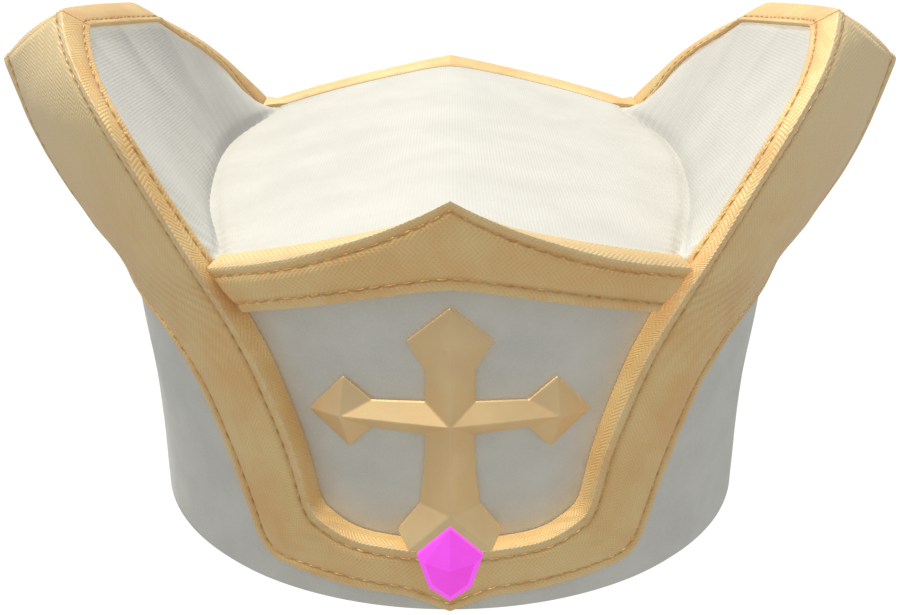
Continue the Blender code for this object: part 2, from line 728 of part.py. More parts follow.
def build_band(name, trim, face, rows, crease_end, peak, thickness, gold):
    """A padded band with a peak, between the two sides of the trim."""
    half_columns, face_rows = 8, 3
    flared = trim is BACK
    slant = 0.0 if flared else BROW_END_SLANT
    top_angle = math.degrees(math.atan2(crease_end.x, abs(crease_end.y)))
    outer, inner = [], []

    def pair(share, level):
        bottom = smooth_read(rows, "share", abs(share), "bottom")
        top = smooth_read(rows, "share", abs(share), "top")
        height = bottom + (top - bottom) * level
        radius = smooth_read(trim.panel_profile, "height", height, "radius") + GAP + thickness
        limit = trim.borders(row_at(trim, min(height, rows[-1].top)))[2]
        limit -= math.degrees(BAND_END_GAP / radius)
        if flared:
            limit *= NAPE_BOTTOM_SPAN + (NAPE_TOP_SPAN - NAPE_BOTTOM_SPAN) * level
        edge = crown_edge_height(crease_end.z, peak, min(abs(share) * limit / top_angle, 1))
        back_height = bottom + (edge + BAND_BACK_RISE - bottom) * level
        back_radius = smooth_read(trim.panel_profile, "height", back_height, "radius") + GAP
        face_limit = limit - slant * (1 - level)
        return polar(share * face_limit, radius, height), polar(share * limit, back_radius, back_height)

    for i in range(face_rows + 1):
        level = i / face_rows
        half = [pair(k / half_columns, level) for k in range(half_columns + 1)]
        if flared:
            half.append(flared_end(trim, rows[-1].bottom + (rows[-1].top - rows[-1].bottom) * level))
        for layer, part in ((outer, 0), (inner, 1)):
            right = [Vector((p[part].x, p[part].y * face, p[part].z)) for p in half]
            layer.append([Vector((-p.x, p.y, p.z)) for p in reversed(right[1:])] + right)
    return add_slab(name, outer, inner, gold)


def on_panel(across, up, out):
    """A point on the front panel: across is measured round it."""
    radius = smooth_read(FRONT_PANEL_PROFILE, "height", up, "radius") + CROSS_BACK_GAP
    angle = math.degrees(across / radius)
    return polar(angle, radius + out, up)


def build_cross(gilt):
    """Arms with a ridge along the middle and a pyramid at each end, as one solid."""
    places = {}
    points = []
    for layer in ("face", "back"):
        for side in (1, -1):
            table = dict(CROSS_SIDE) if side == -1 else {**CROSS_SIDE, **CROSS_MIDDLE}
            for name, spot in table.items():
                out = spot.out if layer == "face" else 0.0
                key_side = 0 if name in CROSS_MIDDLE else side
                places[layer, name, key_side] = len(points)
                points.append(on_panel(spot.across * side, spot.up, out))

    def place(layer, name, side):
        return places[layer, name, 0 if name in CROSS_MIDDLE else side]

    faces = []
    for side in (1, -1):
        for names in CROSS_FACES:
            for layer in ("face", "back"):
                loop = [place(layer, name, side) for name in names]
                if (side == 1) == (layer == "back"):
                    loop.reverse()
                faces.append(tuple(loop))
    face_count = len([p for p in places if p[0] == "face"])
    edges = {}
    for loop in faces:
        if max(loop) >= face_count:
            continue
        for k, start in enumerate(loop):
            end = loop[(k + 1) % len(loop)]
            edges[start, end] = True
    for start, end in list(edges):
        if (end, start) not in edges:
            faces.append((end, start, start + face_count, end + face_count))
    return add_object("cross", points, faces, gilt, sharp_angle=5)


def build_stone(gem):
    """A cut stone: flat back, upright girdle, two large upper facets, bevelled lower ones."""
    layers = (
        [(spot.across, spot.up, 0.0) for spot in STONE_OUTLINE],
        [(spot.across, spot.up, spot.out) for spot in STONE_OUTLINE],
        [(spot.across, spot.up, spot.out) for spot in (STONE_APEX, *STONE_CROWN)],
    )
    points, faces = [], []
    for layer in layers:                       # a middle top, right, lower right, bottom
        points += [Vector((x, -(STONE_BACK + out), up)) for x, up, out in layer]
        points += [Vector((-x, -(STONE_BACK + out), up)) for x, up, out in reversed(layer[1:-1])]
    width = len(points) // len(layers)
    back, girdle, crown = range(width), range(width, 2 * width), range(2 * width, 3 * width)
    faces.append(tuple(back))
    for k in range(width):
        after = (k + 1) % width
        faces.append((back[k], back[after], girdle[after], girdle[k]))
        faces.append((girdle[k], girdle[after], crown[after], crown[k]))
    middle = width // 2
    faces.append((crown[0], *crown[1:middle + 1]))
    faces.append((crown[0], *crown[middle:]))
    return add_object("stone", points, faces, gem, sharp_angle=5)


def centre_over_origin():
    """Move every piece along Y so that the whole is centred over the origin."""
    meshes = [thing.data for thing in bpy.data.objects]
    places = [vertex.co.y for mesh in meshes for vertex in mesh.vertices]
    shift = -(min(places) + max(places)) / 2
    for mesh in meshes:
        mesh.transform(Matrix.Translation((0, shift, 0)))


def main():
    for thing in list(bpy.data.objects):
        bpy.data.objects.remove(thing, do_unlink=True)
    felt = material("white_wool_felt", (0.84, 0.83, 0.77), 0.9)
    cloth = material("white_wool_cloth", (0.88, 0.87, 0.81), 0.85)
    gold = material("gold_braid", (0.72, 0.48, 0.20), 0.55, 0.3)
    gilt = material("gilt_brass", (0.78, 0.55, 0.26), 0.35, 1.0)
    gem = material("magenta_glass", (0.95, 0.10, 0.90), 0.08)
    front_end, back_end = crease_point(0.0), crease_point(1.0)
    build_cap_wall(felt)
    build_crown_top(cloth)
    build_panel("front_panel", FRONT, 1, CROWN_FRONT_CORNER, front_end, CROWN_FRONT_PEAK, felt)
    build_panel("back_panel", BACK, -1, CROWN_BACK_CORNER, back_end, CROWN_BACK_PEAK, felt)
    build_v_band("front_v_band", FRONT_LEFT, FRONT_RIGHT, gold)
    build_v_band("back_v_band", BACK_LEFT, BACK_RIGHT, gold)
    build_horn_cap("horn_cap_left", FRONT_LEFT, BACK_LEFT, gold)
    build_horn_cap("horn_cap_right", FRONT_RIGHT, BACK_RIGHT, gold)
    build_band("brow_band", FRONT, 1, BROW_ROWS, front_end, CROWN_FRONT_PEAK,
               BROW_THICKNESS, gold)
    build_band("nape_band", BACK, -1, NAPE_ROWS, back_end, CROWN_BACK_PEAK,
               NAPE_THICKNESS, gold)
    build_cross(gilt)
    build_stone(gem)
    centre_over_origin()


main()
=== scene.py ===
from collections import namedtuple
from functools import partial
from math import atan2, copysign, cos, degrees, exp, hypot, pi, radians, sin, sqrt

import bmesh
import bpy
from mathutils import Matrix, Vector, noise


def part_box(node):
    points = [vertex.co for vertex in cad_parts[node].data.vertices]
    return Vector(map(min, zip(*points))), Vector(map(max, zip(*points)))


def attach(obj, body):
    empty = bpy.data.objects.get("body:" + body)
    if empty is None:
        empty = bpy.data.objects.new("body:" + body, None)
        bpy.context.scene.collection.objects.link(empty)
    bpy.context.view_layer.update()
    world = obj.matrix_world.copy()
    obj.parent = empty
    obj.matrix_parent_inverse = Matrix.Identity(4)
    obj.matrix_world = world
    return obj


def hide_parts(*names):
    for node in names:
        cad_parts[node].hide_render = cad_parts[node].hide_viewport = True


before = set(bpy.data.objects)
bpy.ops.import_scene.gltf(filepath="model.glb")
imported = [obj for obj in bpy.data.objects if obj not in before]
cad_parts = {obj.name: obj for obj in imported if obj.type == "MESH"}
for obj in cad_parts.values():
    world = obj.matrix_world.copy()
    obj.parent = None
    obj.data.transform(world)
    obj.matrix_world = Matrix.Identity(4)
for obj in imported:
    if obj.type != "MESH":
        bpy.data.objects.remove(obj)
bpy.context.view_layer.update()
mm = 0.001                                    # lengths below are in millimetres
wallLow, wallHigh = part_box("cap_wall")
rimCentreY = (wallLow.y + wallHigh.y) / 2     # the rim's centre, in metres


# the mitre's shape: front is -Y, angles run from the middle, front or back, to a side
wall = {
    "thick": 3.0,
    "profile": (              # height, radius
        (0.0, 100.0), (36.0, 100.3), (60.0, 102.3),
        (80.6, 105.2), (92.9, 113.4), (115.3, 125.7),
        (140.8, 136.3), (142.5, 136.8),
    ),
    "gridStep": 2.2,          # size of a mesh cell
    "sideSteps": 26, "seatSteps": 7, "leastSide": 0.6,
    "rimRound": 0.9, "rimZone": 16.0,
    "uneven": ((0.12, 9.0), (0.10, 31.0)),    # how much, and how far apart
}
trim = {
    "thick": 1.2,             # where it lies flat on the felt
    "proud": 1.5,             # its face over the felt
    "seatGap": 0.5,
    "lap": 3.2, "tipLap": 8.0,
    "foldStart": 6.1, "foldEnd": 6.9,         # rows where its pad gives way to a folded strip
    "padCorner": 0.1, "underShares": (0.28, 0.52, 0.76, 1.0),
    "aimUp": 30.0,            # its face looks out, and up by this
    "gridStep": 1.05,
}
# the trim's outer angle and height, its inner angle, height and radius, and how rounded its corner is
frontRows = (
    (0.0, 0.4, 0.0, 19.4, 101.5, 0.00),
    (6.4, 5.0, 6.6, 19.4, 101.5, 0.25),
    (16.2, 5.8, 15.9, 20.7, 101.5, 0.40),
    (31.5, 9.1, 22.0, 26.8, 101.5, 0.25),
    (37.4, 35.7, 24.4, 45.3, 101.5, 0.40),
    (43.4, 59.9, 29.6, 67.9, 102.6, 0.40),
    (51.5, 71.6, 33.5, 81.0, 104.8, 0.40),
    (68.6, 80.6, 37.3, 94.1, 108.4, 0.35),
    (72.9, 92.9, 43.3, 108.2, 110.0, 0.45),
    (76.0, 115.3, 53.9, 134.7, 116.1, 0.45),
    (81.5, 140.8, 72.7, 156.1, 116.5, 0.10),
    (90.0, 141.8, 90.0, 156.0, 112.3, 0.00),
)
backRows = frontRows[:6] + (
    (51.5, 71.6, 34.6, 87.0, 106.4, 0.40),
    (68.6, 80.6, 37.4, 101.5, 113.0, 0.40),
    (72.9, 92.9, 39.9, 115.0, 118.6, 0.35),
    (76.0, 115.3, 53.3, 139.5, 118.2, 0.45),
    (81.5, 140.8, 72.7, 155.1, 116.5, 0.10),
    frontRows[-1],
)
front = {
    "face": 1, "rows": frontRows, "corner": 7, "cornerLap": 9.0, "peak": 110.6, "crease": 0.0,
    "strip": (                # row, angle, radius, height, how rounded
        (7, 38.1, 101.1, 94.9, 0.0), (8, 43.6, 103.6, 106.8, 0.45),
        (9, 52.9, 110.0, 131.9, 0.45), (10, 73.7, 109.1, 151.5, 0.1),
        (11, 90.0, 104.6, 150.4, 0.0),
    ),
    "panel": (                # height, radius
        (14.0, 94.3), (45.0, 94.3), (68.0, 95.3),
        (81.0, 97.2), (94.0, 99.6), (118.0, 100.4),
    ),
}
back = {
    "face": -1, "rows": backRows, "corner": 8, "cornerLap": 20.0, "peak": 125.0, "crease": 1.0,
    "strip": (                # row, angle, radius, height, how rounded
        (7, 37.6, 103.0, 101.0, 0.0), (8, 44.6, 111.8, 111.6, 0.45),
        (9, 53.3, 111.0, 133.5, 0.45), (10, 71.1, 107.2, 149.2, 0.1),
        (11, 90.0, 104.6, 150.4, 0.0),
    ),
    "panel": (                # height, radius
        (14.0, 94.3), (45.0, 94.3), (68.0, 95.3),
        (81.0, 97.4), (94.0, 100.4), (106.0, 104.0),
        (134.0, 105.4),
    ),
}
tipRow = 10                                   # the trim turns over a horn's top here
sideRow = 11                                  # the middle of a horn
stripBlend = 0.5                              # rows over which the step becomes the strip
slopeStep = 0.02
pieceGap = 0.3


# Hermite curve through the rows: what the other columns say where the first is at key.
def smoothRead(rows, key):
    keys = [row[0] for row in rows]
    if key <= keys[0]:
        return rows[0][1:]
    if key >= keys[-1]:
        return rows[-1][1:]
    last = max(i for i in range(len(keys) - 1) if keys[i] <= key)
    width = keys[last + 1] - keys[last]
    t = (key - keys[last]) / width

    def slope(i, column):
        low, high = max(i - 1, 0), min(i + 1, len(keys) - 1)
        return (rows[high][column] - rows[low][column]) / (keys[high] - keys[low])

    return [(2 * t**3 - 3 * t**2 + 1) * rows[last][c] + (t**3 - 2 * t**2 + t) * slope(last, c) * width
            + (3 * t**2 - 2 * t**3) * rows[last + 1][c] + (t**3 - t**2) * slope(last + 1, c) * width
            for c in range(1, len(rows[0]))]


def wallRadius(height):
    return smoothRead(wall["profile"], height)[0]


def panelRadius(side, height):
    return smoothRead(side["panel"], height)[0]


def clamp(value):
    return min(max(value, 0.0), 1.0)


def easeIn(share):
    return share * share * (3 - 2 * share)


# A dent or a rise: 1 at its middle, little past its width.
def bell(away, width):
    return exp(-(away / width) ** 2)


def uneven(p, waves):
    return sum(height * noise.noise(p / apart) for height, apart in waves)


# Quadratic curve from a to b, pulled towards a middle.
def arc(a, middle, b, s):
    return (1 - s) ** 2 * a + 2 * s * (1 - s) * middle + s**2 * b


def polar(angle, radius, height):
    turn = radians(angle)
    return Vector((radius * sin(turn), -radius * cos(turn), height))


# From the front left, where the shape is worked out, to a point's own side.
def toSide(p, side, mirror=1):
    return Vector((p.x * mirror, p.y * side["face"], p.z))


def runAlong(line):
    run = [0.0]
    for a, b in zip(line, line[1:]):
        run.append(run[-1] + (b - a).length)
    return run


# The rows' values at t, with their corners rounded.
def roundedRead(rows, t):
    nearest = min(max(round(t), 0), len(rows) - 1)
    soft = rows[nearest][-1]

    def straight(u):
        low = min(max(int(u), 0), len(rows) - 2)
        share = u - low
        return [a * (1 - share) + b * share for a, b in zip(rows[low], rows[low + 1])]

    if soft == 0 or abs(t - nearest) >= soft or nearest in (0, len(rows) - 1):
        return straight(t)
    s = (t - nearest + soft) / (2 * soft)
    ends = zip(straight(nearest - soft), straight(nearest), straight(nearest + soft))
    return [arc(a, b, c, s) for a, b, c in ends]


def borders(side, t):
    return roundedRead(side["rows"], t)[:5]


# The trim's face: share 0 on its ridge, 1 on its outer border.
def skin(side, t, share):
    if t < 0:
        p = skin(side, -t, share)
        return Vector((-p.x, p.y, p.z))
    if t > sideRow:
        p = skin(side, 2 * sideRow - t, share)
        return Vector((p.x, -p.y, p.z))
    outerAngle, outerHeight, angle, height, radius = borders(side, t)
    outerRadius = wallRadius(outerHeight) + trim["proud"]
    return polar(angle + (outerAngle - angle) * share, radius + (outerRadius - radius) * share,
                 height + (outerHeight - height) * share)


# Foot of the step down to the panel, and over a horn the strip's inner border.
def stripBorder(side, t):
    firstRow, *corner, _ = side["strip"][0]
    angle, height = borders(side, t)[2:4]
    floor = polar(angle, panelRadius(side, height) + pieceGap, height)
    if t <= firstRow - stripBlend:
        return floor
    if t <= firstRow:
        return floor.lerp(polar(*corner), (t - firstRow + stripBlend) / stripBlend)
    return polar(*roundedRead(side["strip"], t - firstRow)[1:4])


def foldShare(t):
    return easeIn(clamp((t - trim["foldStart"]) / (trim["foldEnd"] - trim["foldStart"])))


def outward(side, t, share):
    along = skin(side, t + slopeStep, share) - skin(side, t - slopeStep, share)
    across = skin(side, t, share + slopeStep) - skin(side, t, share - slopeStep)
    way = along.cross(across).normalized()
    p = skin(side, t, share)
    if way.dot(Vector((p.x, p.y, trim["aimUp"]))) < 0:
        way.negate()
    if t <= 0:
        way.x = 0
    return way.normalized()


def inward(side, t, share):
    p = skin(side, t, share)
    radial = Vector((p.x, p.y, 0)).normalized()
    return -radial.lerp(outward(side, t, share), foldShare(t)).normalized()


def stripOutward(side, t):
    ridge = skin(side, t, 0)
    along = skin(side, t + slopeStep, 0) - skin(side, t - slopeStep, 0)
    way = along.cross(stripBorder(side, t) - ridge).normalized()
    if way.dot(skin(side, t, 1) - ridge) > 0:
        way.negate()
    return way


def padThickness(side, t, share):
    step = (skin(side, t, 0) - stripBorder(side, t)).length
    padded = step + (trim["thick"] - step) * share
    return padded + (trim["thick"] - padded) * foldShare(t)


def underside(side, t, share):
    return skin(side, t, share) + inward(side, t, share) * padThickness(side, t, share)


# The hidden side of the trim, from its inner border to its outer one.
def underPoints(side, t):
    border, ridge, fold = stripBorder(side, t), skin(side, t, 0), foldShare(t)
    stripWay, faceWay = stripOutward(side, t), outward(side, t, 0)
    foldedCorner = ridge - (stripWay + faceWay) * (trim["thick"] / (1 + stripWay.dot(faceWay)))
    foldedBorder = border - stripWay * trim["thick"]
    paddedCorner = underside(side, t, trim["padCorner"])
    paddedBorder = border.lerp(paddedCorner, 0.5)
    return ([paddedBorder.lerp(foldedBorder, fold), paddedCorner.lerp(foldedCorner, fold)]
            + [underside(side, t, share) for share in trim["underShares"]])


def seat(side, t, share):
    return underside(side, t, share) + inward(side, t, share) * trim["seatGap"]


def seatStart(side, t):
    width = (skin(side, t, 1) - skin(side, t, 0)).length
    climb = clamp((t - side["corner"]) / (tipRow - side["corner"]))
    hornLap = side["cornerLap"] + (trim["tipLap"] - side["cornerLap"]) * climb
    return (trim["lap"] + (hornLap - trim["lap"]) * foldShare(t)) / width


# Places along the trim about one step apart, measured along a line on its face.
def evenPlaces(side, start, end, step, fineness=600, onFace=0.35):
    fine = [start + (end - start) * i / fineness for i in range(fineness + 1)]
    run = runAlong([skin(side, t, onFace) for t in fine])
    count = max(round(run[-1] / step), 2)
    places, k = [], 0
    for i in range(count + 1):
        want = run[-1] * i / count
        while k < len(run) - 2 and run[k + 1] < want:
            k += 1
        share = (want - run[k]) / max(run[k + 1] - run[k], 1e-9)
        places.append(fine[k] + (fine[k + 1] - fine[k]) * clamp(share))
    return places


# Places over a whole horn, from a front row round its top to a back one.
def hornStations(frontStart, backStart, step):
    frontPlaces = evenPlaces(front, frontStart, sideRow, step)
    backPlaces = evenPlaces(back, backStart, sideRow, step)
    return [(front, t) for t in frontPlaces] + [(back, t) for t in reversed(backPlaces[:-1])]


# meshes
def addObject(name, mesh):
    thing = bpy.data.objects.new(name, mesh)
    bpy.context.scene.collection.objects.link(thing)
    return thing


def finished(thing, node):
    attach(thing, "root")
    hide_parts(node)
    return thing


def setValues(mesh, label, numbers, domain="POINT"):
    mesh.attributes.new(label, "FLOAT", domain).data.foreach_set("value", numbers)


# A closed mesh in metres at its place; uvs in mm, values are named lists, all one per point.
def makePiece(name, node, slot, material, points, faces, uvs=None, values=None, sharpAngle=50):
    mesh = bpy.data.meshes.new(name)
    mesh.from_pydata([(p.x * mm, p.y * mm + rimCentreY, p.z * mm) for p in points], [], faces)
    if uvs:
        layer = mesh.uv_layers.new(name="weave")
        for loop in mesh.loops:
            layer.data[loop.index].uv = uvs[loop.vertex_index]
    for label, numbers in (values or {}).items():
        setValues(mesh, label, numbers)
    shape = bmesh.new()
    shape.from_mesh(mesh)
    bmesh.ops.recalc_face_normals(shape, faces=shape.faces[:])
    if shape.calc_volume(signed=True) < 0:
        bmesh.ops.reverse_faces(shape, faces=shape.faces[:])
    shape.to_mesh(mesh)
    shape.free()
    mesh.shade_smooth()
    mesh.set_sharp_from_angle(angle=radians(sharpAngle))
    mesh.materials.append(material)
    return finished(addObject(name, mesh), node)


# Faces between outlines that have the same number of points; open ends get caps.
def joinSections(sections, closed=False, paired=False):
    width, count = len(sections[0]), len(sections)
    points = [p for section in sections for p in section]
    faces = []
    for i in range(count if closed else count - 1):
        a, b = i * width, ((i + 1) % count) * width
        for k in range(width):
            n = (k + 1) % width
            faces.append((a + k, a + n, b + n, b + k))
    ends = () if closed else (0, (count - 1) * width)
    for a in ends:
        if paired:                            # a curved end is closed from its outer to its inner line
            faces += [(a + k, a + k + 1, a + width - 2 - k, a + width - 1 - k)
                      for k in range(width // 2 - 1)]
        else:
            faces.append(tuple(range(a, a + width)))
    return points, faces


# What is next in a row, which may run in a ring.
def following(row, i, step, ring):
    return row[(i + step) % len(row)] if ring else row[min(max(i + step, 0), len(row) - 1)]


# Unit normals of a grid of points, all on the same side.
def gridWays(sections, closedRound, closedAlong=False):
    ways = []
    for i, section in enumerate(sections):
        before, after = (following(sections, i, step, closedAlong) for step in (-1, 1))
        row = []
        for k in range(len(section)):
            left, right = (following(section, k, step, closedRound) for step in (-1, 1))
            row.append((after[k] - before[k]).cross(right - left).normalized())
        ways.append(row)
    return ways


filletShares = (0.0, 0.33, 0.67, 1.0)
filletMost = 0.45             # of the way to the next point


def fillet(before, corner, after, radius):
    a, b = (corner + way.normalized() * min(radius, way.length * filletMost)
            for way in (before - corner, after - corner))
    return [arc(a, corner, b, s) for s in filletShares]


# materials
# sRGB hex to linear, with alpha 1.
def linearColour(code):
    parts = [int(code[i:i + 2], 16) / 255 for i in (0, 2, 4)]
    return (*[c / 12.92 if c <= 0.04045 else ((c + 0.055) / 1.055) ** 2.4 for c in parts], 1.0)


def setSocket(socket, value):
    socket.default_value = linearColour(value) if socket.type == "RGBA" else value


# Adds a node with its settings and gives one of its outputs. An input, by its place or name, takes a
# value, a hex colour or another node's output.
def addNode(tree, kind, inputs=(), output=0, **settings):
    made = tree.nodes.new(kind if "Node" in kind else "ShaderNode" + kind)
    for key, value in settings.items():
        setattr(made, key, value)
    for key, value in inputs.items() if isinstance(inputs, dict) else enumerate(inputs):
        if isinstance(value, bpy.types.NodeSocket):
            tree.links.new(value, made.inputs[key])
        else:
            setSocket(made.inputs[key], value)
    return made.outputs[output] if made.outputs else None


# A new material, with the shader's sockets that stay the same all over.
def newMaterial(name, **sockets):
    made = bpy.data.materials.new(name)
    made.use_nodes = True
    for key, value in sockets.items():
        setSocket(made.node_tree.nodes["Principled BSDF"].inputs[key.replace("_", " ")], value)
    return made


# The same for a finish that varies, with addNode for its tree and the place on the object.
def startMaterial(name, **sockets):
    made = newMaterial(name, **sockets)
    add = partial(addNode, made.node_tree)
    return made, add, add("TexCoord", output="Object")


# Links what varies over a surface: its colour, its roughness, and a fine relief some mm high.
def endMaterial(made, colour, rough=None, height=None, relief=0.0, strength=0.8):
    tree = made.node_tree
    sockets = tree.nodes["Principled BSDF"].inputs
    tree.links.new(colour, sockets["Base Color"])
    if rough:
        tree.links.new(rough, sockets["Roughness"])
    if height:
        bump = addNode(tree, "Bump", {"Height": height, "Distance": relief * mm, "Strength": strength})
        tree.links.new(bump, sockets["Normal"])
    return made


# Inputs of a noise in patches about size mm wide.
def patches(place, size, detail=3.0):
    return {"Vector": place, "Scale": 1 / (size * mm), "Detail": detail, "Roughness": 0.55}


# Mixes a tint in, up to a share, as a value says, or where it goes softly through a ramp.
def tinted(add, colour, tint, value, most=1.0, ramp=None):
    share = add("MapRange", (value, *(ramp or (0.0, 1.0)), 0.0, most),
                interpolation_type="SMOOTHSTEP" if ramp else "LINEAR")
    return add("Mix", {0: share, 6: colour, 7: tint}, 2, data_type="RGBA")


# Patches of a finish's cloud size, and its colour in them, from dark to light.
def clouded(add, place, finish, detail=4.0, ramp=(0.3, 0.7)):
    cloud = add("TexNoise", patches(place, finish["cloud"], detail))
    return cloud, tinted(add, finish["dark"], finish["light"], cloud, 1.0, ramp)


# A wave across threads that lie pitch mm apart.
def threadWave(add, run, pitch):
    turn = add("Math", (run, pi / pitch), operation="MULTIPLY")
    return add("Math", (turn,), operation="SINE")


felt = {"light": "E5E3D7", "dark": "DBD9CD", "strand": "F1EFE4", "strandShare": 0.35,
        "fibre": 0.45, "fibreLength": 4.0, "cloud": 14.0, "relief": 0.16,
        "lays": ((0.3, 0.2, 0.5), (1.1, 0.7, 2.0), (2.1, 1.9, 0.9))}      # fibres lie three ways


# Wool felt, pressed and stiffened: dead matt, cloudy white, with short matted fibres.
def feltMaterial():
    made, add, place = startMaterial(
        "wool_felt_pressed", Roughness=0.93, Sheen_Weight=0.25, Sheen_Roughness=0.45,
        Specular_IOR_Level=0.25)
    stretch = (1.0, felt["fibre"] / felt["fibreLength"], 1.0)
    fibres = 0.0
    for lay in felt["lays"]:
        laid = add("Mapping", {"Vector": place, "Scale": stretch, "Rotation": lay})
        one = add("TexNoise", patches(laid, felt["fibre"], 2.0))
        fibres = add("Math", (fibres, one), operation="MAXIMUM")
    cloud, colour = clouded(add, place, felt)
    colour = tinted(add, colour, felt["strand"], fibres, felt["strandShare"], (0.45, 0.75))
    low = add("Math", (cloud, 0.6), operation="MULTIPLY")
    height = add("Math", (fibres, 0.7, low), operation="MULTIPLY_ADD")
    return endMaterial(made, colour, None, height, felt["relief"])


# Plain weave from the piece's own UV in mm: warp over weft, one thread every pitch mm.
def weaveHeight(add, pitch):
    uv = add("UVMap", uv_map="weave")
    waves = [threadWave(add, add("SeparateXYZ", (uv,), axis), pitch) for axis in (0, 1)]
    over = add("Math", waves, operation="MULTIPLY")
    threads = []
    for wave, half in zip(waves, (0.5, -0.5)):          # warp where over is high, weft where it is low
        thread = add("Math", (wave,), operation="ABSOLUTE")
        top = add("Math", (over, half, 0.5), operation="MULTIPLY_ADD")
        threads.append(add("Math", (thread, top), operation="MULTIPLY"))
    return add("Math", threads, operation="MAXIMUM")


cloth = {"light": "EFEEE6", "dark": "E5E4DC", "gap": "C9C8BF", "gapShare": 0.22,
         "pitch": 1.0, "slub": 3.0, "cloud": 22.0, "relief": 0.09}


# Fine wool cloth, plain woven: matt white, an even grid of threads and a soft nap. The real thread
# is 0.5 mm apart; it is drawn at 1 mm, or it would not show.
def clothMaterial():
    made, add, place = startMaterial(
        "wool_cloth_woven", Roughness=0.88, Sheen_Weight=0.3, Sheen_Roughness=0.4,
        Specular_IOR_Level=0.3)
    threads = weaveHeight(add, cloth["pitch"])
    slub = add("TexNoise", patches(place, cloth["slub"]))
    _, colour = clouded(add, place, cloth, 3.0, (0.25, 0.75))
    colour = tinted(add, colour, cloth["gap"], threads, cloth["gapShare"], (0.9, 0.2))
    height = add("Math", (slub, 0.6, threads), operation="MULTIPLY_ADD")
    return endMaterial(made, colour, None, height, cloth["relief"])


# one colour below is a painted highlight, for the horns' tips and the cross bands' top strips
gold = {"light": "FFDD99", "dark": "FBCA83", "worn": "FFEBC0", "paintedHighlight": "FFE5AE", "seam": "A97B42",
        "wornShare": 0.5, "paintedHighlightShare": 0.95, "seamShare": 0.4, "ribShare": 0.24,
        "rib": 1.3, "thread": 0.65, "zigzag": 2.6, "cloud": 18.0, "slub": 1.6, "relief": 0.11}


# Gold braid, woven of metal thread: satin, herringbone ribs, and a painted highlight towards the horns'
# tips and on the cross bands' top strips. The real rib is 0.6 mm; it is drawn at 1.3 mm, or it would not
# show.
def goldMaterial():
    made, add, place = startMaterial(
        "gold_braid_woven", Metallic=0.08, Sheen_Weight=0.2, Sheen_Roughness=0.35)
    uv = add("UVMap", uv_map="weave")
    along, across = (add("SeparateXYZ", (uv,), axis) for axis in (0, 1))
    lean = add("Math", (across, gold["zigzag"]), operation="PINGPONG")
    lean = add("Math", (along, lean), operation="ADD")
    rib, thread = (add("Math", (threadWave(add, run, pitch),), operation="ABSOLUTE")
                   for run, pitch in ((lean, gold["rib"]), (across, gold["thread"])))
    ribs = add("Math", (thread, 0.3, rib), operation="MULTIPLY_ADD")
    slub = add("TexNoise", patches(place, gold["slub"]))
    rubbed = add("MapRange", (slub, 0.35, 0.65, 0.0, gold["wornShare"]), interpolation_type="SMOOTHSTEP")
    paintedHighlight, wear, seam = (add("Attribute", output="Fac", attribute_name=label)
                        for label in ("paintedHighlight", "wear", "seam"))
    _, colour = clouded(add, place, gold)
    # painted highlight: a lighter gold mixed in towards the horns' tips and on the top strips
    colour = tinted(add, colour, gold["paintedHighlight"], paintedHighlight, gold["paintedHighlightShare"])
    colour = tinted(add, colour, gold["seam"], ribs, gold["ribShare"], (0.6, 0.1))
    colour = tinted(add, colour, gold["worn"], wear, rubbed)
    colour = tinted(add, colour, gold["seam"], seam, gold["seamShare"])
    rough = add("MapRange", {"Value": slub, "To Min": 0.42, "To Max": 0.62})
    height = add("Math", (slub, 0.4, ribs), operation="MULTIPLY_ADD")
    return endMaterial(made, colour, rough, height, gold["relief"])


sewingThread = {"light": "EBC280", "dark": "C9964F", "cloud": 2.5}


# Gold sewing thread, rayon, twisted: silky and a little deeper than the braid.
def threadMaterial():
    made, add, place = startMaterial(
        "gold_thread_twisted", Metallic=0.15, Roughness=0.4, Sheen_Weight=0.2)
    return endMaterial(made, clouded(add, place, sewingThread, 2.0)[1])


gilt = {"light": "FFD891", "dark": "EDB973", "tarnish": "9A743E", "edge": "FFE9BA",
        "tarnishShare": 0.45, "edgeShare": 0.6, "cloud": 9.0, "grain": 0.5, "relief": 0.05}


# Brass, cast, gilded and brushed by hand: satin metal, bright edges, duller in its corners.
def giltMaterial():
    made, add, place = startMaterial("gilt_brass_cast", Metallic=0.6)
    cloud, colour = clouded(add, place, gilt)
    brushed = add("Mapping", {"Vector": place, "Scale": (1.0, 1.0, 0.12), "Rotation": (0.0, 0.35, 0.0)})
    grain = add("TexNoise", patches(brushed, gilt["grain"], 2.0))
    low, wear = (add("Attribute", output="Fac", attribute_name=label) for label in ("low", "wear"))
    patchy = add("MapRange", (cloud, 0.25, 0.6), interpolation_type="SMOOTHSTEP")
    dull = add("Math", (low, patchy), operation="MULTIPLY")
    colour = tinted(add, colour, gilt["tarnish"], dull, gilt["tarnishShare"])
    colour = tinted(add, colour, gilt["edge"], wear, gilt["edgeShare"])
    rough = add("MapRange", {"Value": grain, "To Min": 0.42, "To Max": 0.56})
    rough = add("Math", (dull, 0.15, rough), operation="MULTIPLY_ADD")
    return endMaterial(made, colour, rough, grain, gilt["relief"], 0.6)


# deep and light are the dark and bright ends of the stone's painted facet shade
glass = {"deep": "EE2ED0", "light": "FF56FF", "paintedGlow": 0.40, "paintedGlowColour": "FF54F2",
         "swirl": 5.0, "swirlShare": 0.15}


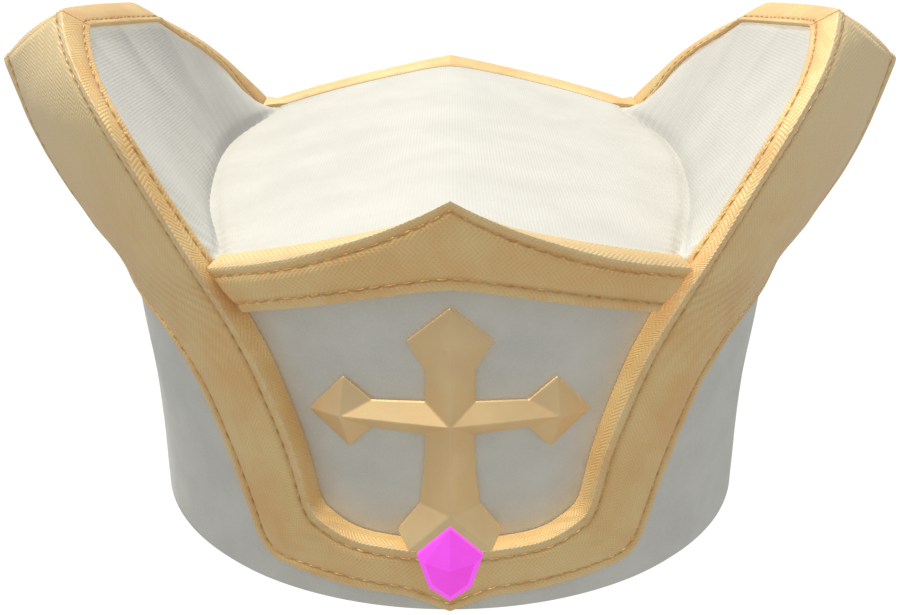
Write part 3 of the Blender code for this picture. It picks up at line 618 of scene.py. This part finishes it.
# Magenta glass, pressed and fire polished: clear, saturated, mirror smooth, with painted shade that gives
# each facet its own tone by the way it faces, and a painted glow.
def glassMaterial():
    # its emission is a painted glow
    made, add, place = startMaterial(
        "magenta_glass_cut", Roughness=0.05, IOR=1.52, Transmission_Weight=0.08,
        Emission_Strength=glass["paintedGlow"], Emission_Color=glass["paintedGlowColour"])
    swirl = add("TexNoise", patches(place, glass["swirl"], 2.0))
    swirl = add("MapRange", (swirl, 0.3, 0.7, 0.0, glass["swirlShare"]), interpolation_type="SMOOTHSTEP")
    # painted facet shade, with a little random swirl in the glass
    facetPaintedShade = add("Attribute", output="Fac", attribute_name="facetPaintedShade")
    share = add("Math", (facetPaintedShade, 1 - glass["swirlShare"], swirl), operation="MULTIPLY_ADD")
    return endMaterial(made, tinted(add, glass["deep"], glass["light"], share))


foil = {"dark": "FFD9FF", "light": "FF9BFF", "cloud": 1.5, "relief": 0.1}


# Tin foil behind the glass, pressed: a bright mirror, slightly crinkled.
def foilMaterial():
    made, add, place = startMaterial("foil_pressed", Metallic=1.0, Roughness=0.15)
    crinkle, colour = clouded(add, place, foil, 2.0, None)
    return endMaterial(made, colour, None, crinkle, foil["relief"], 0.5)


feltFinish, clothFinish, goldFinish = feltMaterial(), clothMaterial(), goldMaterial()
threadFinish, giltFinish = threadMaterial(), giltMaterial()
glassFinish, foilFinish = glassMaterial(), foilMaterial()
print("materials made")


# cap wall: blocked felt, one ring
def wallColumn(side, mirror, t):
    start = seatStart(side, t)
    angle, border = borders(side, t)[:2]
    edgeHeight = skin(side, t, start).z
    split = max(border, wall["leastSide"] * edgeHeight)

    def shareAt(height):
        return 1 - (height - border) / (edgeHeight - border) * (1 - start)

    column = []
    for i in range(wall["sideSteps"] + 1):
        height = split * i / wall["sideSteps"]
        if height < border:
            column.append(polar(angle, wallRadius(height), height))
        else:
            column.append(seat(side, t, shareAt(height)))
    low = shareAt(split)
    for i in range(1, wall["seatSteps"] + 1):
        column.append(seat(side, t, low + (start - low) * i / wall["seatSteps"]))
    return [toSide(p, side, mirror) for p in column]


def buildCapWall():
    stations = hornStations(0.0, 0.0, wall["gridStep"])
    columns = [wallColumn(side, 1, t) for side, t in stations]
    columns += [wallColumn(side, -1, t) for side, t in reversed(stations[1:-1])]
    sections = []
    for column, line in zip(columns, gridWays(columns, False, True)):
        inner, dressed = [], []
        for p, way in zip(column, line):
            radial = Vector((p.x, p.y, 0)).normalized()
            if way.dot(radial) < 0:
                way = -way
            square = max(1 - p.z / wall["rimZone"], 0.0)        # the rim stays a flat level edge
            inner.append(p - way.lerp(radial, square).normalized() * wall["thick"])
            dressed.append(p + radial * uneven(p, wall["uneven"]))
        outerRim = fillet(column[1], column[0], inner[0], wall["rimRound"])
        innerRim = fillet(column[0], inner[0], inner[1], wall["rimRound"])
        sections.append(dressed[:0:-1] + outerRim + innerRim + inner[1:])
    return makePiece("cap_wall_felt", "cap_wall", "felt", feltFinish, *joinSections(sections, closed=True))


# panels: felt, set in below the trim
panel = {"lap": 2.4, "topGap": 3.9, "sideDrop": 4.0, "columns": 60, "topRows": 14, "gridStep": 2.5,
         "uneven": ((0.10, 12.0),)}
crease = (                    # how far back, x, y, z
    (0.00, 60.4, -78.9, 95.4),
    (0.40, 76.5, -17.0, 99.0),
    (0.72, 81.0, 38.0, 105.0),
    (1.00, 68.8, 78.1, 112.0),
)
crown = {
    "sag": 4.0, "ridgeSoftness": 0.07, "bow": 80.0, "edgeGap": 0.6,
    "hemShare": 0.25, "hemStart": 0.1, "hemRun": 0.7,
    "hornSteps": 24, "topSteps": 52, "gridStep": 1.8,
    "seamDip": 0.9, "seamWidth": 2.2, "puckerPitch": 7.5, "puckerDrift": 0.35, "driftApart": 14.0,
    "seamPucker": 0.175, "edgePucker": 0.1225, "puckerReach": 9.0,
    "uneven": ((0.45, 38.0), (0.15, 12.0)),
    "edgeZone": 4.0, "edgeRise": 0.6, "edgeReach": 0.5,       # it turns up against the bands
    "aimUp": 200.0,           # its outer face looks in, and up by this
}


def crownEdge(corner, peak, share):
    soften = crown["ridgeSoftness"]
    spread = sqrt(share * share + soften * soften) - soften
    return peak + (corner - peak) * spread / (sqrt(1 + soften * soften) - soften)


def creasePoint(along):
    return Vector(smoothRead(crease, along))


# Where a side's crease ends, and its angle.
def creaseEnd(side):
    end = creasePoint(side["crease"])
    return end, degrees(atan2(end.x, abs(end.y)))


def panelOutline(side):
    outline = []
    for t in evenPlaces(side, 1.0, side["corner"], panel["gridStep"]):
        before, after = borders(side, t - slopeStep), borders(side, t + slopeStep)
        here = borders(side, t)
        perDegree = panelRadius(side, here[3]) * pi / 180
        run, rise = (after[2] - before[2]) * perDegree, after[3] - before[3]
        length = hypot(run, rise)
        height = here[3] - panel["lap"] * (1.0 if t <= 1 else run / length)
        outline.append((here[2] + panel["lap"] * rise / length / perDegree, height))
    return outline


def buildPanel(node, side):
    end, topAngle = creaseEnd(side)
    low = [row for row in panelOutline(side) if row[1] < end.z - panel["topGap"] - panel["sideDrop"]]
    shares = [-1 + 2 * i / panel["columns"] for i in range(panel["columns"] + 1)]
    tops = [crownEdge(end.z, side["peak"], abs(s)) - panel["topGap"] for s in shares]
    rows = [[(angle * s, height) for s in shares] for angle, height in low]
    sideAngle, sideHeight = low[-1]
    for i in range(1, panel["topRows"] + 1):
        rise = i / panel["topRows"]
        angle = sideAngle + (topAngle - sideAngle) * rise
        rows.append([(angle * s, sideHeight + (top - sideHeight) * rise) for s, top in zip(shares, tops)])
    sections = []
    for row in rows:
        outer, inner = [], []
        for angle, height in row:
            radius = panelRadius(side, height)
            bulge = uneven(polar(angle, radius, height), panel["uneven"])
            outer.append(toSide(polar(angle, radius + bulge, height), side))
            inner.append(toSide(polar(angle, radius - wall["thick"], height), side))
        sections.append(outer + inner[::-1])
    return makePiece(node + "_felt", node, "felt", feltFinish, *joinSections(sections, paired=True))


# crown: one white cloth, stretched up inside both horns and sewn along its creases
# Its lines from hem to hem, and how far each is along the hem.
def crownRows():
    stations = hornStations(front["corner"], back["corner"], crown["gridStep"])
    hems, folds = [], []
    for side, t in stations:
        below = stripOutward(side, t) * (trim["thick"] + trim["seatGap"])
        border = stripBorder(side, t)
        lap = crown["hemShare"] * min(max(t - side["corner"], crown["hemStart"]) / crown["hemRun"], 1.0)
        hems.append(toSide(border.lerp(skin(side, t, 0), lap) - below, side))
        folds.append(toSide(border - below, side))
    run = runAlong(hems)
    frontRadius, backRadius = (panelRadius(side, side["peak"]) - crown["edgeGap"] for side in (front, back))
    rows = []
    for hem, fold, length in zip(hems, folds, run):
        along = length / run[-1]
        end = creasePoint(along)
        middleY = -frontRadius + (frontRadius + backRadius) * along
        peak = front["peak"] + (back["peak"] - front["peak"]) * along
        peak -= crown["sag"] * 4 * along * (1 - along)
        spread = atan2(end.x, crown["bow"])
        half = [hem] + [fold.lerp(end, i / crown["hornSteps"]) for i in range(crown["hornSteps"])]
        for i in range(crown["topSteps"] + 1):
            share = 1 - i / crown["topSteps"]
            bow = (1 - cos(share * spread)) / (1 - cos(spread))
            half.append(Vector((end.x * sin(share * spread) / sin(spread),
                                middleY + (end.y - middleY) * bow, crownEdge(end.z, peak, share))))
        rows.append(half + [Vector((-p.x, p.y, p.z)) for p in reversed(half[:-1])])
    return rows, run


def buildCrown():
    rows, run = crownRows()
    width = len(rows[0])
    creaseAt = 1 + crown["hornSteps"]
    sections, uvs = [], []
    for along, row, line in zip(run, rows, gridWays(rows, False)):
        across = runAlong(row)
        fromEdge = min(along, run[-1] - along) / crown["edgeZone"]
        top, under, flat = [], [], []
        for k, (p, way) in enumerate(zip(row, line)):
            if way.dot(Vector((-p.x, 0, crown["aimUp"]))) < 0:
                way = -way
            away = min(abs(across[k] - across[creaseAt]), abs(across[k] - across[width - 1 - creaseAt]))
            edge = min(across[k], across[-1] - across[k])
            drift = crown["puckerDrift"] * noise.noise(p / crown["driftApart"])
            ripple = cos(2 * pi * (along / crown["puckerPitch"] + drift))
            lift = -crown["seamDip"] * bell(away, crown["seamWidth"])
            lift += crown["seamPucker"] * ripple * exp(-away / crown["puckerReach"])
            lift += crown["edgePucker"] * ripple * exp(-edge / crown["puckerReach"])
            lift += uneven(p, crown["uneven"])
            lift *= min(fromEdge, 1.0)                          # none under the bands
            turnUp = max(1 - fromEdge, 0.0) ** 2 if creaseAt <= k <= width - 1 - creaseAt else 0.0
            tuck = Vector((0, copysign(crown["edgeReach"], p.y), crown["edgeRise"])) * turnUp
            top.append(p + way * lift + tuck)
            under.append(p - way * wall["thick"])
            flat.append((across[k] - across[-1] / 2, along))
        sections.append(top + under[::-1])
        uvs += flat + flat[::-1]
    points, faces = joinSections(sections, paired=True)
    thing = makePiece("crown_cloth", "crown_top", "cloth", clothFinish, points, faces, uvs)
    thing.visible_diffuse = False             # or it lights the horns' shaded sides too much
    return thing


# padded gold bands: one cross-section for all of them
band = {
    "sewIn": 2.8,             # stitches lie this far inside a border
    "groove": 0.40, "grooveWidth": 0.75, "seamWidth": 0.6,
    "pillow": 0.9, "pillowRound": 0.8, "roll": 0.25,
    "stripSewIn": 2.0, "stripGroove": 0.28, "stripGrooveWidth": 0.6, "stripSeamWidth": 0.5,
    "stripPillow": 0.3,
    "borderRound": 0.55, "ridgeRound": 0.8, "wearReach": 0.9,
    "pucker": 0.16, "puckerPitch": 4.0, "uneven": ((0.22, 17.0), (0.10, 5.0)),
    "endZone": 3.0, "endLeast": 0.15,         # it is flat into a mitred seam
    "stoneFrom": 0.6, "stoneRun": 1.2, "stoneLeast": 0.35,    # and flatter behind the stone
    # over these heights the braid's painted highlight grows
    "paintedHighlightFrom": 72.0, "paintedHighlightTo": 145.0,
}
bandPoint = namedtuple("bandPoint", "place across lift wear seam", defaults=(0.0, 0.0, 0.0))
nearBorder = (1.0, 1.6, 2.2, 2.8, 3.4, 4.2, 5.2)     # mesh lines of a face, mm from a border
nearCentre = tuple(i / 8 for i in range(1, 8))       # and by shares between them
stripStart = (0.14, 0.27, 0.40)
stripEnd = (3.0, 2.5, 2.0, 1.5, 1.0)                 # mm from the strip's border
filletPoints = len(filletShares)
ridgeFrom = filletPoints + 2 * len(nearBorder) + len(nearCentre)
sewOuter = filletPoints + nearBorder.index(band["sewIn"])          # columns that carry stitches
sewRidge = ridgeFrom - 1 - nearBorder.index(band["sewIn"])
sewStrip = ridgeFrom + filletPoints + len(stripStart) + stripEnd.index(band["stripSewIn"])
sewEnds = 2                   # sections without a stitch at each end


# Outline of a padded band: face(0) is its outer border, face(1) = strip(0) its ridge.
def paddedSection(face, strip, under, stripSewn):
    width = (face(1) - face(0)).length
    depth = (strip(1) - strip(0)).length
    low, high = nearBorder[-1], width - nearBorder[-1]
    spots = list(nearBorder) + [low + (high - low) * s for s in nearCentre]
    spots += [width - d for d in reversed(nearBorder)]
    stripSpots = [depth * s for s in stripStart] + [depth - d for d in stripEnd]
    facePlaces = [face(d / width) for d in spots]
    stripPlaces = [strip(d / depth) for d in stripSpots]
    corner = fillet(under[-1], face(0), facePlaces[0], band["borderRound"])
    made = [bandPoint(p, 0.2 * i, wear=0.8) for i, p in enumerate(corner)]
    for d, p in zip(spots, facePlaces):
        inside = min(d, width - d)
        lift = -band["groove"] * bell(inside - band["sewIn"], band["grooveWidth"])
        if inside < band["sewIn"]:
            lift += band["roll"] * sin(pi * inside / band["sewIn"])
        else:
            s = (inside - band["sewIn"]) / max(width / 2 - band["sewIn"], 0.1)
            lift += band["pillow"] * sin(pi / 2 * min(s, 1.0)) ** band["pillowRound"]
        seam = bell(inside - band["sewIn"], band["seamWidth"])
        made.append(bandPoint(p, d, lift, exp(-inside / band["wearReach"]), seam))
    ridge = fillet(facePlaces[-1], face(1), stripPlaces[0], band["ridgeRound"])
    made += [bandPoint(p, width - 0.3 + 0.2 * i, wear=1.0) for i, p in enumerate(ridge)]
    for d, p in zip(stripSpots, stripPlaces):
        inside = depth - d - band["stripSewIn"]
        lift = -band["stripGroove"] * bell(inside, band["stripGrooveWidth"]) * stripSewn
        lift += band["stripPillow"] * sin(pi * d / depth)
        seam = bell(inside, band["stripSeamWidth"]) * stripSewn
        made.append(bandPoint(p, width + d, lift, exp(-d / band["wearReach"]), seam))
    corner = fillet(stripPlaces[-1], strip(1), under[0], band["borderRound"])
    made += [bandPoint(p, width + depth, wear=0.6) for p in corner]
    return made + [bandPoint(p, width + depth + 2 * (i + 1)) for i, p in enumerate(under)]


# A share for each section: least at both ends, 1 past a zone.
def endFade(count, zone, least):
    return [least + (1 - least) * min(min(i, count - 1 - i) / zone, 1.0) for i in range(count)]


# Lift the points along their normals, pulled in at the stitches. quiet is a share per section.
def puffed(sections, quiet):
    rows = [[spot.place for spot in section] for section in sections]
    ways = gridWays(rows, True)
    middle = sum(rows[0], Vector()) / len(rows[0])
    atRidge = ridgeFrom + 1
    flip = 1 if ways[0][atRidge].dot(rows[0][atRidge] - middle) > 0 else -1
    run = runAlong([row[sewOuter] for row in rows])
    lifted = []
    for i, section in enumerate(sections):
        ripple = cos(2 * pi * run[i] / band["puckerPitch"])
        row = []
        for spot, way in zip(section, ways[i]):
            lift = spot.lift
            if lift:
                lift -= band["pucker"] * (1 + ripple) * 0.5 * spot.seam
                lift += uneven(spot.place, band["uneven"])
            row.append(spot.place + way * flip * lift * quiet[i])
        lifted.append(row)
    return lifted, [[way * flip for way in row] for row in ways], run


# Painted highlight: the braid's face is lighter towards the horns' tips.
def paintedHighlightUp(k, p):
    rise = clamp((p.z - band["paintedHighlightFrom"]) / (band["paintedHighlightTo"] - band["paintedHighlightFrom"]))
    return easeIn(rise) if k < ridgeFrom else 0.0


# sewLines: which columns carry stitches, each with its first and last section.
def buildBand(node, sections, quiet, sewLines, paintHighlight):
    lifted, ways, run = puffed(sections, quiet)
    points, faces = joinSections(lifted)
    spots = [(length, k, spot) for length, section in zip(run, sections) for k, spot in enumerate(section)]
    uvs = [(length - run[-1] / 2, spot.across) for length, _, spot in spots]
    # one painted highlight value for each point, among the others
    values = {"wear": [spot.wear for _, _, spot in spots], "seam": [spot.seam for _, _, spot in spots],
              "paintedHighlight": [paintHighlight(k, spot.place) for _, k, spot in spots]}
    name = node + "_gold"
    thing = makePiece(name, node, "gold_trim", goldFinish, points, faces, uvs, values, 75)
    buildStitches(name + "_stitches", [([row[k] for row in lifted[a:b]], [row[k] for row in ways[a:b]])
                                       for k, a, b in sewLines])
    return thing


def trimSection(side, mirror, t):
    ridge, border = skin(side, t, 0), stripBorder(side, t)
    return paddedSection(lambda share: toSide(skin(side, t, 1 - share), side, mirror),
                         lambda share: toSide(ridge.lerp(border, share), side, mirror),
                         [toSide(p, side, mirror) for p in underPoints(side, t)], foldShare(t))


seamGap = 0.008               # rows from a V band's end, and a horn cap's, to their seam
stripSewGap = 0.1             # rows from the corner to the strip's first stitch


def buildVBand(node, side):
    places = evenPlaces(side, 0.0, tipRow - seamGap, trim["gridStep"])
    both = [(-1, t) for t in reversed(places[1:])] + [(1, t) for t in places]
    sections = [trimSection(side, mirror, t) for mirror, t in both]
    quiet = endFade(len(both), band["endZone"] / trim["gridStep"], band["endLeast"])
    if side is front:
        least = band["stoneLeast"]
        for i, (_, t) in enumerate(both):
            behind = least + (1 - least) * clamp((t - band["stoneFrom"]) / band["stoneRun"])
            quiet[i] = min(quiet[i], behind)
    middle, end = len(places) - 1, len(both) - sewEnds
    folded = [i for i, (_, t) in enumerate(both) if t > side["corner"] + stripSewGap]
    rightTo, leftFrom = max(i for i in folded if i < middle) + 1, min(i for i in folded if i > middle)
    lines = [(sewOuter, sewEnds, end), (sewRidge, sewEnds, end),
             (sewStrip, sewEnds, rightTo), (sewStrip, leftFrom, end)]
    return buildBand(node, sections, quiet, lines, paintedHighlightUp)


def buildHornCap(node, mirror):
    stations = hornStations(tipRow + seamGap, tipRow + seamGap, trim["gridStep"])
    sections = [trimSection(side, mirror, t) for side, t in stations]
    quiet = endFade(len(stations), band["endZone"] / trim["gridStep"], band["endLeast"])
    lines = [(k, sewEnds, len(stations) - sewEnds) for k in (sewOuter, sewRidge, sewStrip)]
    return buildBand(node, sections, quiet, lines, paintedHighlightUp)


# each cross band's top strip gets a share of painted highlight
brow = {
    "thick": 5.2, "slant": 2.2, "topSpan": 1.0, "bottomSpan": 1.0, "flareSteps": 0, "topPaintedHighlight": 0.6,
    "rows": (                 # share of its half, bottom, top
        (0.00, 94.5, 116.9), (0.10, 93.9, 113.3), (0.28, 91.9, 107.9),
        (0.62, 87.5, 99.9), (1.00, 82.8, 93.6),
    ),
}
nape = {                      # its ends flare out along the step up to the trim
    "thick": 7.4, "slant": 0.0, "topSpan": 0.985, "bottomSpan": 0.95, "flareSteps": 6, "topPaintedHighlight": 0.2,
    "rows": ((0.00, 110.5, 130.0), (0.50, 104.3, 122.4), (1.00, 98.0, 114.8)),
}
bandFit = {"backRise": 0.8, "endGap": 0.5, "columns": 210, "flareGap": 0.8, "flareFoot": 0.15,
           "underLevels": (0.75, 0.5, 0.25, 0.0), "endZone": 2.0, "endLeast": 0.45}


# The trim row whose inner border is at a height, below the horns.
def rowAt(side, height, halvings=30):
    low, high = 1.0, side["corner"]
    for _ in range(halvings):
        middle = (low + high) / 2
        if borders(side, middle)[3] < height:
            low = middle
        else:
            high = middle
    return low


# A point of a cross band: level 0 at its bottom, 1 at its top; flare 1 at a flared end.
def bandSpot(side, shape, share, flare, level, onFace):
    end, topAngle = creaseEnd(side)
    bottom, top = smoothRead(shape["rows"], abs(share))
    endBottom, endTop = shape["rows"][-1][1:]
    height = bottom + (top - bottom) * level
    radius = panelRadius(side, height) + pieceGap + shape["thick"]
    limit = borders(side, rowAt(side, min(height, endTop)))[2]
    limit -= degrees(bandFit["endGap"] / radius)
    limit *= shape["bottomSpan"] + (shape["topSpan"] - shape["bottomSpan"]) * level
    if onFace:
        p = polar(share * (limit - shape["slant"] * (1 - level)), radius, height)
    else:
        edge = crownEdge(end.z, side["peak"], min(abs(share) * limit / topAngle, 1))
        height = bottom + (edge + bandFit["backRise"] - bottom) * level
        p = polar(share * limit, panelRadius(side, height) + pieceGap, height)
    if flare:
        t = rowAt(side, endBottom + (endTop - endBottom) * level)
        ridge = skin(side, t, 0)
        foot = ridge if onFace else stripBorder(side, t).lerp(ridge, bandFit["flareFoot"])
        foot = foot + stripOutward(side, t) * bandFit["flareGap"]
        foot.x = copysign(foot.x, share)
        p = p.lerp(foot, flare)
    return toSide(p, side)


def buildCrossBand(node, side, shape):
    count, steps = bandFit["columns"], shape["flareSteps"]
    spots = [(-1.0, 1 - i / steps) for i in range(steps)]
    spots += [(-1 + 2 * i / count, 0.0) for i in range(count + 1)]
    spots += [(1.0, (i + 1) / steps) for i in range(steps)]
    sections = []
    for share, flare in spots:
        spot = partial(bandSpot, side, shape, share, flare)
        ridge, inner = spot(1, True), spot(1, False)
        under = [spot(level, False) for level in bandFit["underLevels"]]
        sections.append(paddedSection(lambda s: spot(s, True), lambda s: ridge.lerp(inner, s), under, 0.0))
    quiet = endFade(len(spots), bandFit["endZone"], bandFit["endLeast"])
    lines = [(k, sewEnds, len(spots) - sewEnds) for k in (sewOuter, sewRidge)]

    # painted highlight on the top strip, which faces up into the light
    def paintedTopHighlight(k, p):
        return shape["topPaintedHighlight"] if k >= ridgeFrom else 0.0

    return buildBand(node, sections, quiet, lines, paintedTopHighlight)


# stitches, by Geometry Nodes
stitch = {"Stitch Length": 3.0, "Gap": 1.0, "Thread Width": 0.55, "Rise": 0.35, "Sink": 0.3}    # mm
stitchAbove = 0.08
stitchSeed = 7


# Mesh lines in, one arched stitch of thread for every stitch length and gap along them.
def stitchTree():
    tree = bpy.data.node_groups.new("sewnStitches", "GeometryNodeTree")
    add = partial(addNode, tree)
    sockets = [("Geometry", "Geometry"), *((label, "Float") for label in stitch), ("Seed", "Int")]
    for label, kind in sockets:
        tree.interface.new_socket(label, in_out="INPUT", socket_type="NodeSocket" + kind)
    tree.interface.new_socket("Geometry", in_out="OUTPUT", socket_type="NodeSocketGeometry")
    given = tree.nodes.new("NodeGroupInput").outputs
    curve = add("GeometryNodeMeshToCurve", {"Mesh": given["Geometry"]})
    pitch = add("Math", (given["Stitch Length"], given["Gap"]), operation="ADD")
    spaced = add("GeometryNodeResampleCurve", {"Curve": curve, "Length": pitch}, mode="LENGTH")
    up = add("GeometryNodeInputNamedAttribute", {"Name": "up"}, data_type="FLOAT_VECTOR")
    turn = add("FunctionNodeAxesToRotation", (up, add("GeometryNodeInputTangent")),
               primary_axis="Z", secondary_axis="X")
    start, end, height, down, radius = (
        add("Math", (given[label], times), operation="MULTIPLY") for label, times in
        (("Stitch Length", -0.5), ("Stitch Length", 0.5), ("Rise", 2.0), ("Sink", -1.0),
         ("Thread Width", 0.5)))
    ends = [add("CombineXYZ", {"X": x, "Z": z})
            for x, z in ((start, down), (0.0, height), (end, down))]
    arch = add("GeometryNodeCurveQuadraticBezier", (7, *ends))
    around = add("GeometryNodeCurvePrimitiveCircle", {"Resolution": 7, "Radius": radius})
    thread = add("GeometryNodeCurveToMesh", {"Curve": arch, "Profile Curve": around, "Fill Caps": True})
    vary = add("FunctionNodeRandomValue", {2: 0.92, 3: 1.06, "Seed": given["Seed"]}, 1, data_type="FLOAT")
    placed = add("GeometryNodeInstanceOnPoints",
                 {"Points": spaced, "Instance": thread, "Rotation": turn, "Scale": vary})
    real = add("GeometryNodeRealizeInstances", (placed,))
    done = add("GeometryNodeSetMaterial", {"Geometry": real, "Material": threadFinish})
    add("NodeGroupOutput", (done,))
    return tree


sewTree = stitchTree()
sewSocket = {item.name: item.identifier for item in sewTree.interface.items_tree
             if item.in_out == "INPUT"}


def buildStitches(name, paths):
    points, edges, ups = [], [], []
    for line, ways in paths:
        start = len(points)
        for p, way in zip(line, ways):
            q = p + way * stitchAbove
            points.append((q.x * mm, q.y * mm + rimCentreY, q.z * mm))
            ups.extend(way)
        edges += [(i, i + 1) for i in range(start, len(points) - 1)]
    mesh = bpy.data.meshes.new(name)
    mesh.from_pydata(points, edges, [])
    mesh.attributes.new("up", "FLOAT_VECTOR", "POINT").data.foreach_set("vector", ups)
    lines = addObject(name + "_lines", mesh)
    sew = lines.modifiers.new("sew", "NODES")
    sew.node_group = sewTree
    for label, size in stitch.items():
        sew[sewSocket[label]] = size * mm
    sew[sewSocket["Seed"]] = stitchSeed
    bpy.context.view_layer.update()
    ready = lines.evaluated_get(bpy.context.evaluated_depsgraph_get())
    sewn = bpy.data.meshes.new_from_object(ready)
    sewn.shade_smooth()
    thing = addObject(name, sewn)
    bpy.data.objects.remove(lines)
    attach(thing, "root")
    return thing


# cross and stone, from the solids' own facets
# The solid's mesh, merged, with its edges softened; wear marks the softened edges.
def facetCopy(name, node, materials, edgeWidth, mergeWithin=0.02, flatWithin=2, keenFrom=9):
    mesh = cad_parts[node].data.copy()
    mesh.name = name
    shape = bmesh.new()
    shape.from_mesh(mesh)
    bmesh.ops.remove_doubles(shape, verts=shape.verts[:], dist=mergeWithin * mm)
    bmesh.ops.dissolve_limit(shape, angle_limit=radians(flatWithin), verts=shape.verts[:],
                             edges=shape.edges[:])
    bmesh.ops.recalc_face_normals(shape, faces=shape.faces[:])
    keen = [e for e in shape.edges if e.calc_face_angle(0) > radians(keenFrom)]
    softened = bmesh.ops.bevel(shape, geom=keen, offset=edgeWidth * mm, segments=2, profile=0.5,
                               affect="EDGES", clamp_overlap=True)["faces"]
    shape.to_mesh(mesh)
    shape.verts.index_update()
    shape.faces.index_update()
    edges = {f.index for f in softened}
    worn = {v.index for f in softened for v in f.verts}
    shape.free()
    setValues(mesh, "wear", [float(i in worn) for i in range(len(mesh.vertices))])
    mesh.materials.clear()
    for material in materials:
        mesh.materials.append(material)
    for f in mesh.polygons:
        f.use_smooth = f.index not in edges   # a facet is smooth only into one it has no edge with
    return addObject(name, mesh)


cross = {"edge": 0.3, "footBelow": 21.2, "footDrop": 0.7, "lowOver": 0.5, "lowReach": 3.0}


def buildCross():
    thing = facetCopy("cross_gilt", "cross", [giltFinish], cross["edge"])
    low = []
    for v in thing.data.vertices:
        if v.co.z < cross["footBelow"] * mm:                    # the foot comes down onto the trim
            v.co += Vector((0, -1, -1)) * cross["footDrop"] * mm
        radius = hypot(v.co.x, v.co.y - rimCentreY) / mm
        over = radius - panelRadius(front, v.co.z / mm) - cross["lowOver"]
        low.append(max(0.0, 1.0 - over / cross["lowReach"]))
    setValues(thing.data, "low", low)
    return finished(thing, "cross")


# a painted light direction and strengths for the stone's painted facet shade
stone = {"edge": 0.12, "paintedLightFrom": (-0.45, 0.0, 0.9), "paintedShadeLeast": 0.35, "paintedShadeGain": 1.5,
         "bevel": 0.95}


def buildStone():
    thing = facetCopy("stone_glass", "stone", [glassFinish, foilFinish], stone["edge"])
    paintedLightFrom = Vector(stone["paintedLightFrom"])
    facetPaintedShade = []
    for f in thing.data.polygons:             # painted shade: upper facets and lower bevels painted lighter
        if f.normal.y > 0.9:                  # the flat back carries the foil
            f.material_index = 1
        lit = stone["paintedShadeLeast"] + stone["paintedShadeGain"] * f.normal.dot(paintedLightFrom)
        bevel = f.normal.z < 0.1 and abs(f.normal.y) < 0.9
        facetPaintedShade.append(stone["bevel"] if bevel else clamp(lit))
    setValues(thing.data, "facetPaintedShade", facetPaintedShade, "FACE")
    thing.visible_diffuse = False             # its painted glow lights nothing
    thing.visible_glossy = False
    return finished(thing, "stone")


buildCapWall()
print("cap wall made")
buildPanel("front_panel", front)
buildPanel("back_panel", back)
print("panels made")
buildCrown()
print("crown made")
buildVBand("front_v_band", front)
buildVBand("back_v_band", back)
buildHornCap("horn_cap_left", 1)
buildHornCap("horn_cap_right", -1)
buildCrossBand("brow_band", front, brow)
buildCrossBand("nape_band", back, nape)
print("gold bands made and stitched")
buildCross()
buildStone()
print("cross and stone made")


# floor, light and camera
stage = {
    "paper": "F7F7F5", "paperGlow": 1.15, "floorReach": 6.0, "bend": 3.0, "wallTop": 14.0,   # metres
    "turns": 96, "bendSteps": 12,
    "world": 0.50, "worldColour": "FAFCFF",
    "keyFrom": (-0.283, 0.314, 0.906), "keyColour": "FFFBF2", "keySoft": 8.0,
    "key": 0.8, "fill": 1.85,     # the fill is shadowless, so that undersides stay open
}


# One sheet of lit paper, bent up all round. It throws no light back, which would flatten the facets.
def buildStage():
    turns, bend = stage["turns"], stage["bend"]
    angles = [pi / 2 * i / stage["bendSteps"] for i in range(stage["bendSteps"] + 1)]
    profile = [(stage["floorReach"] + bend * sin(a), bend * (1 - cos(a))) for a in angles]
    profile.append((stage["floorReach"] + bend, stage["wallTop"]))
    rings = [[polar(360 * k / turns, radius, height) for k in range(turns)] for radius, height in profile]
    points, faces = joinSections(rings)
    mesh = bpy.data.meshes.new("studio_floor")
    mesh.from_pydata(points, [], faces[:-1])            # open at its top
    mesh.shade_smooth()
    mesh.materials.append(newMaterial(
        "studio_paper_lit", Roughness=0.9, Specular_IOR_Level=0.1, Base_Color=stage["paper"],
        Emission_Color=stage["paper"], Emission_Strength=stage["paperGlow"]))
    floor = addObject("studio_floor", mesh)
    floor.visible_diffuse = False
    floor.visible_glossy = False
    floor.visible_shadow = False


def buildLight():
    world = bpy.data.worlds.new("studio")
    bpy.context.scene.world = world
    world.use_nodes = True
    shade = world.node_tree.nodes["Background"]
    setSocket(shade.inputs["Color"], stage["worldColour"])
    shade.inputs["Strength"].default_value = stage["world"]
    for name in ("key", "fill"):
        lamp = bpy.data.lights.new(name, "SUN")
        lamp.energy = stage[name]
        lamp.angle = radians(stage["keySoft"])
        lamp.color = linearColour(stage["keyColour"])[:3]
        lamp.use_shadow = name == "key"
        thing = addObject(name, lamp)
        thing.rotation_euler = Vector(stage["keyFrom"]).to_track_quat("Z", "Y").to_euler()


camera = {"beforeRim": 332.65, "height": 170.41, "pitch": 19.4, "lens": 40.0, "sensor": 36.0}


def buildCamera():
    data = bpy.data.cameras.new("photo_view")
    data.lens = camera["lens"]
    data.sensor_width = camera["sensor"]
    data.clip_start = 0.01
    thing = addObject("photo_view", data)
    thing.location = (0.0, rimCentreY - camera["beforeRim"] * mm, camera["height"] * mm)
    thing.rotation_euler = (radians(90 - camera["pitch"]), 0, 0)
    bpy.context.scene.camera = thing


buildStage()
buildLight()
buildCamera()
bpy.context.scene.view_settings.view_transform = "Standard"
print("stage, light and camera set")
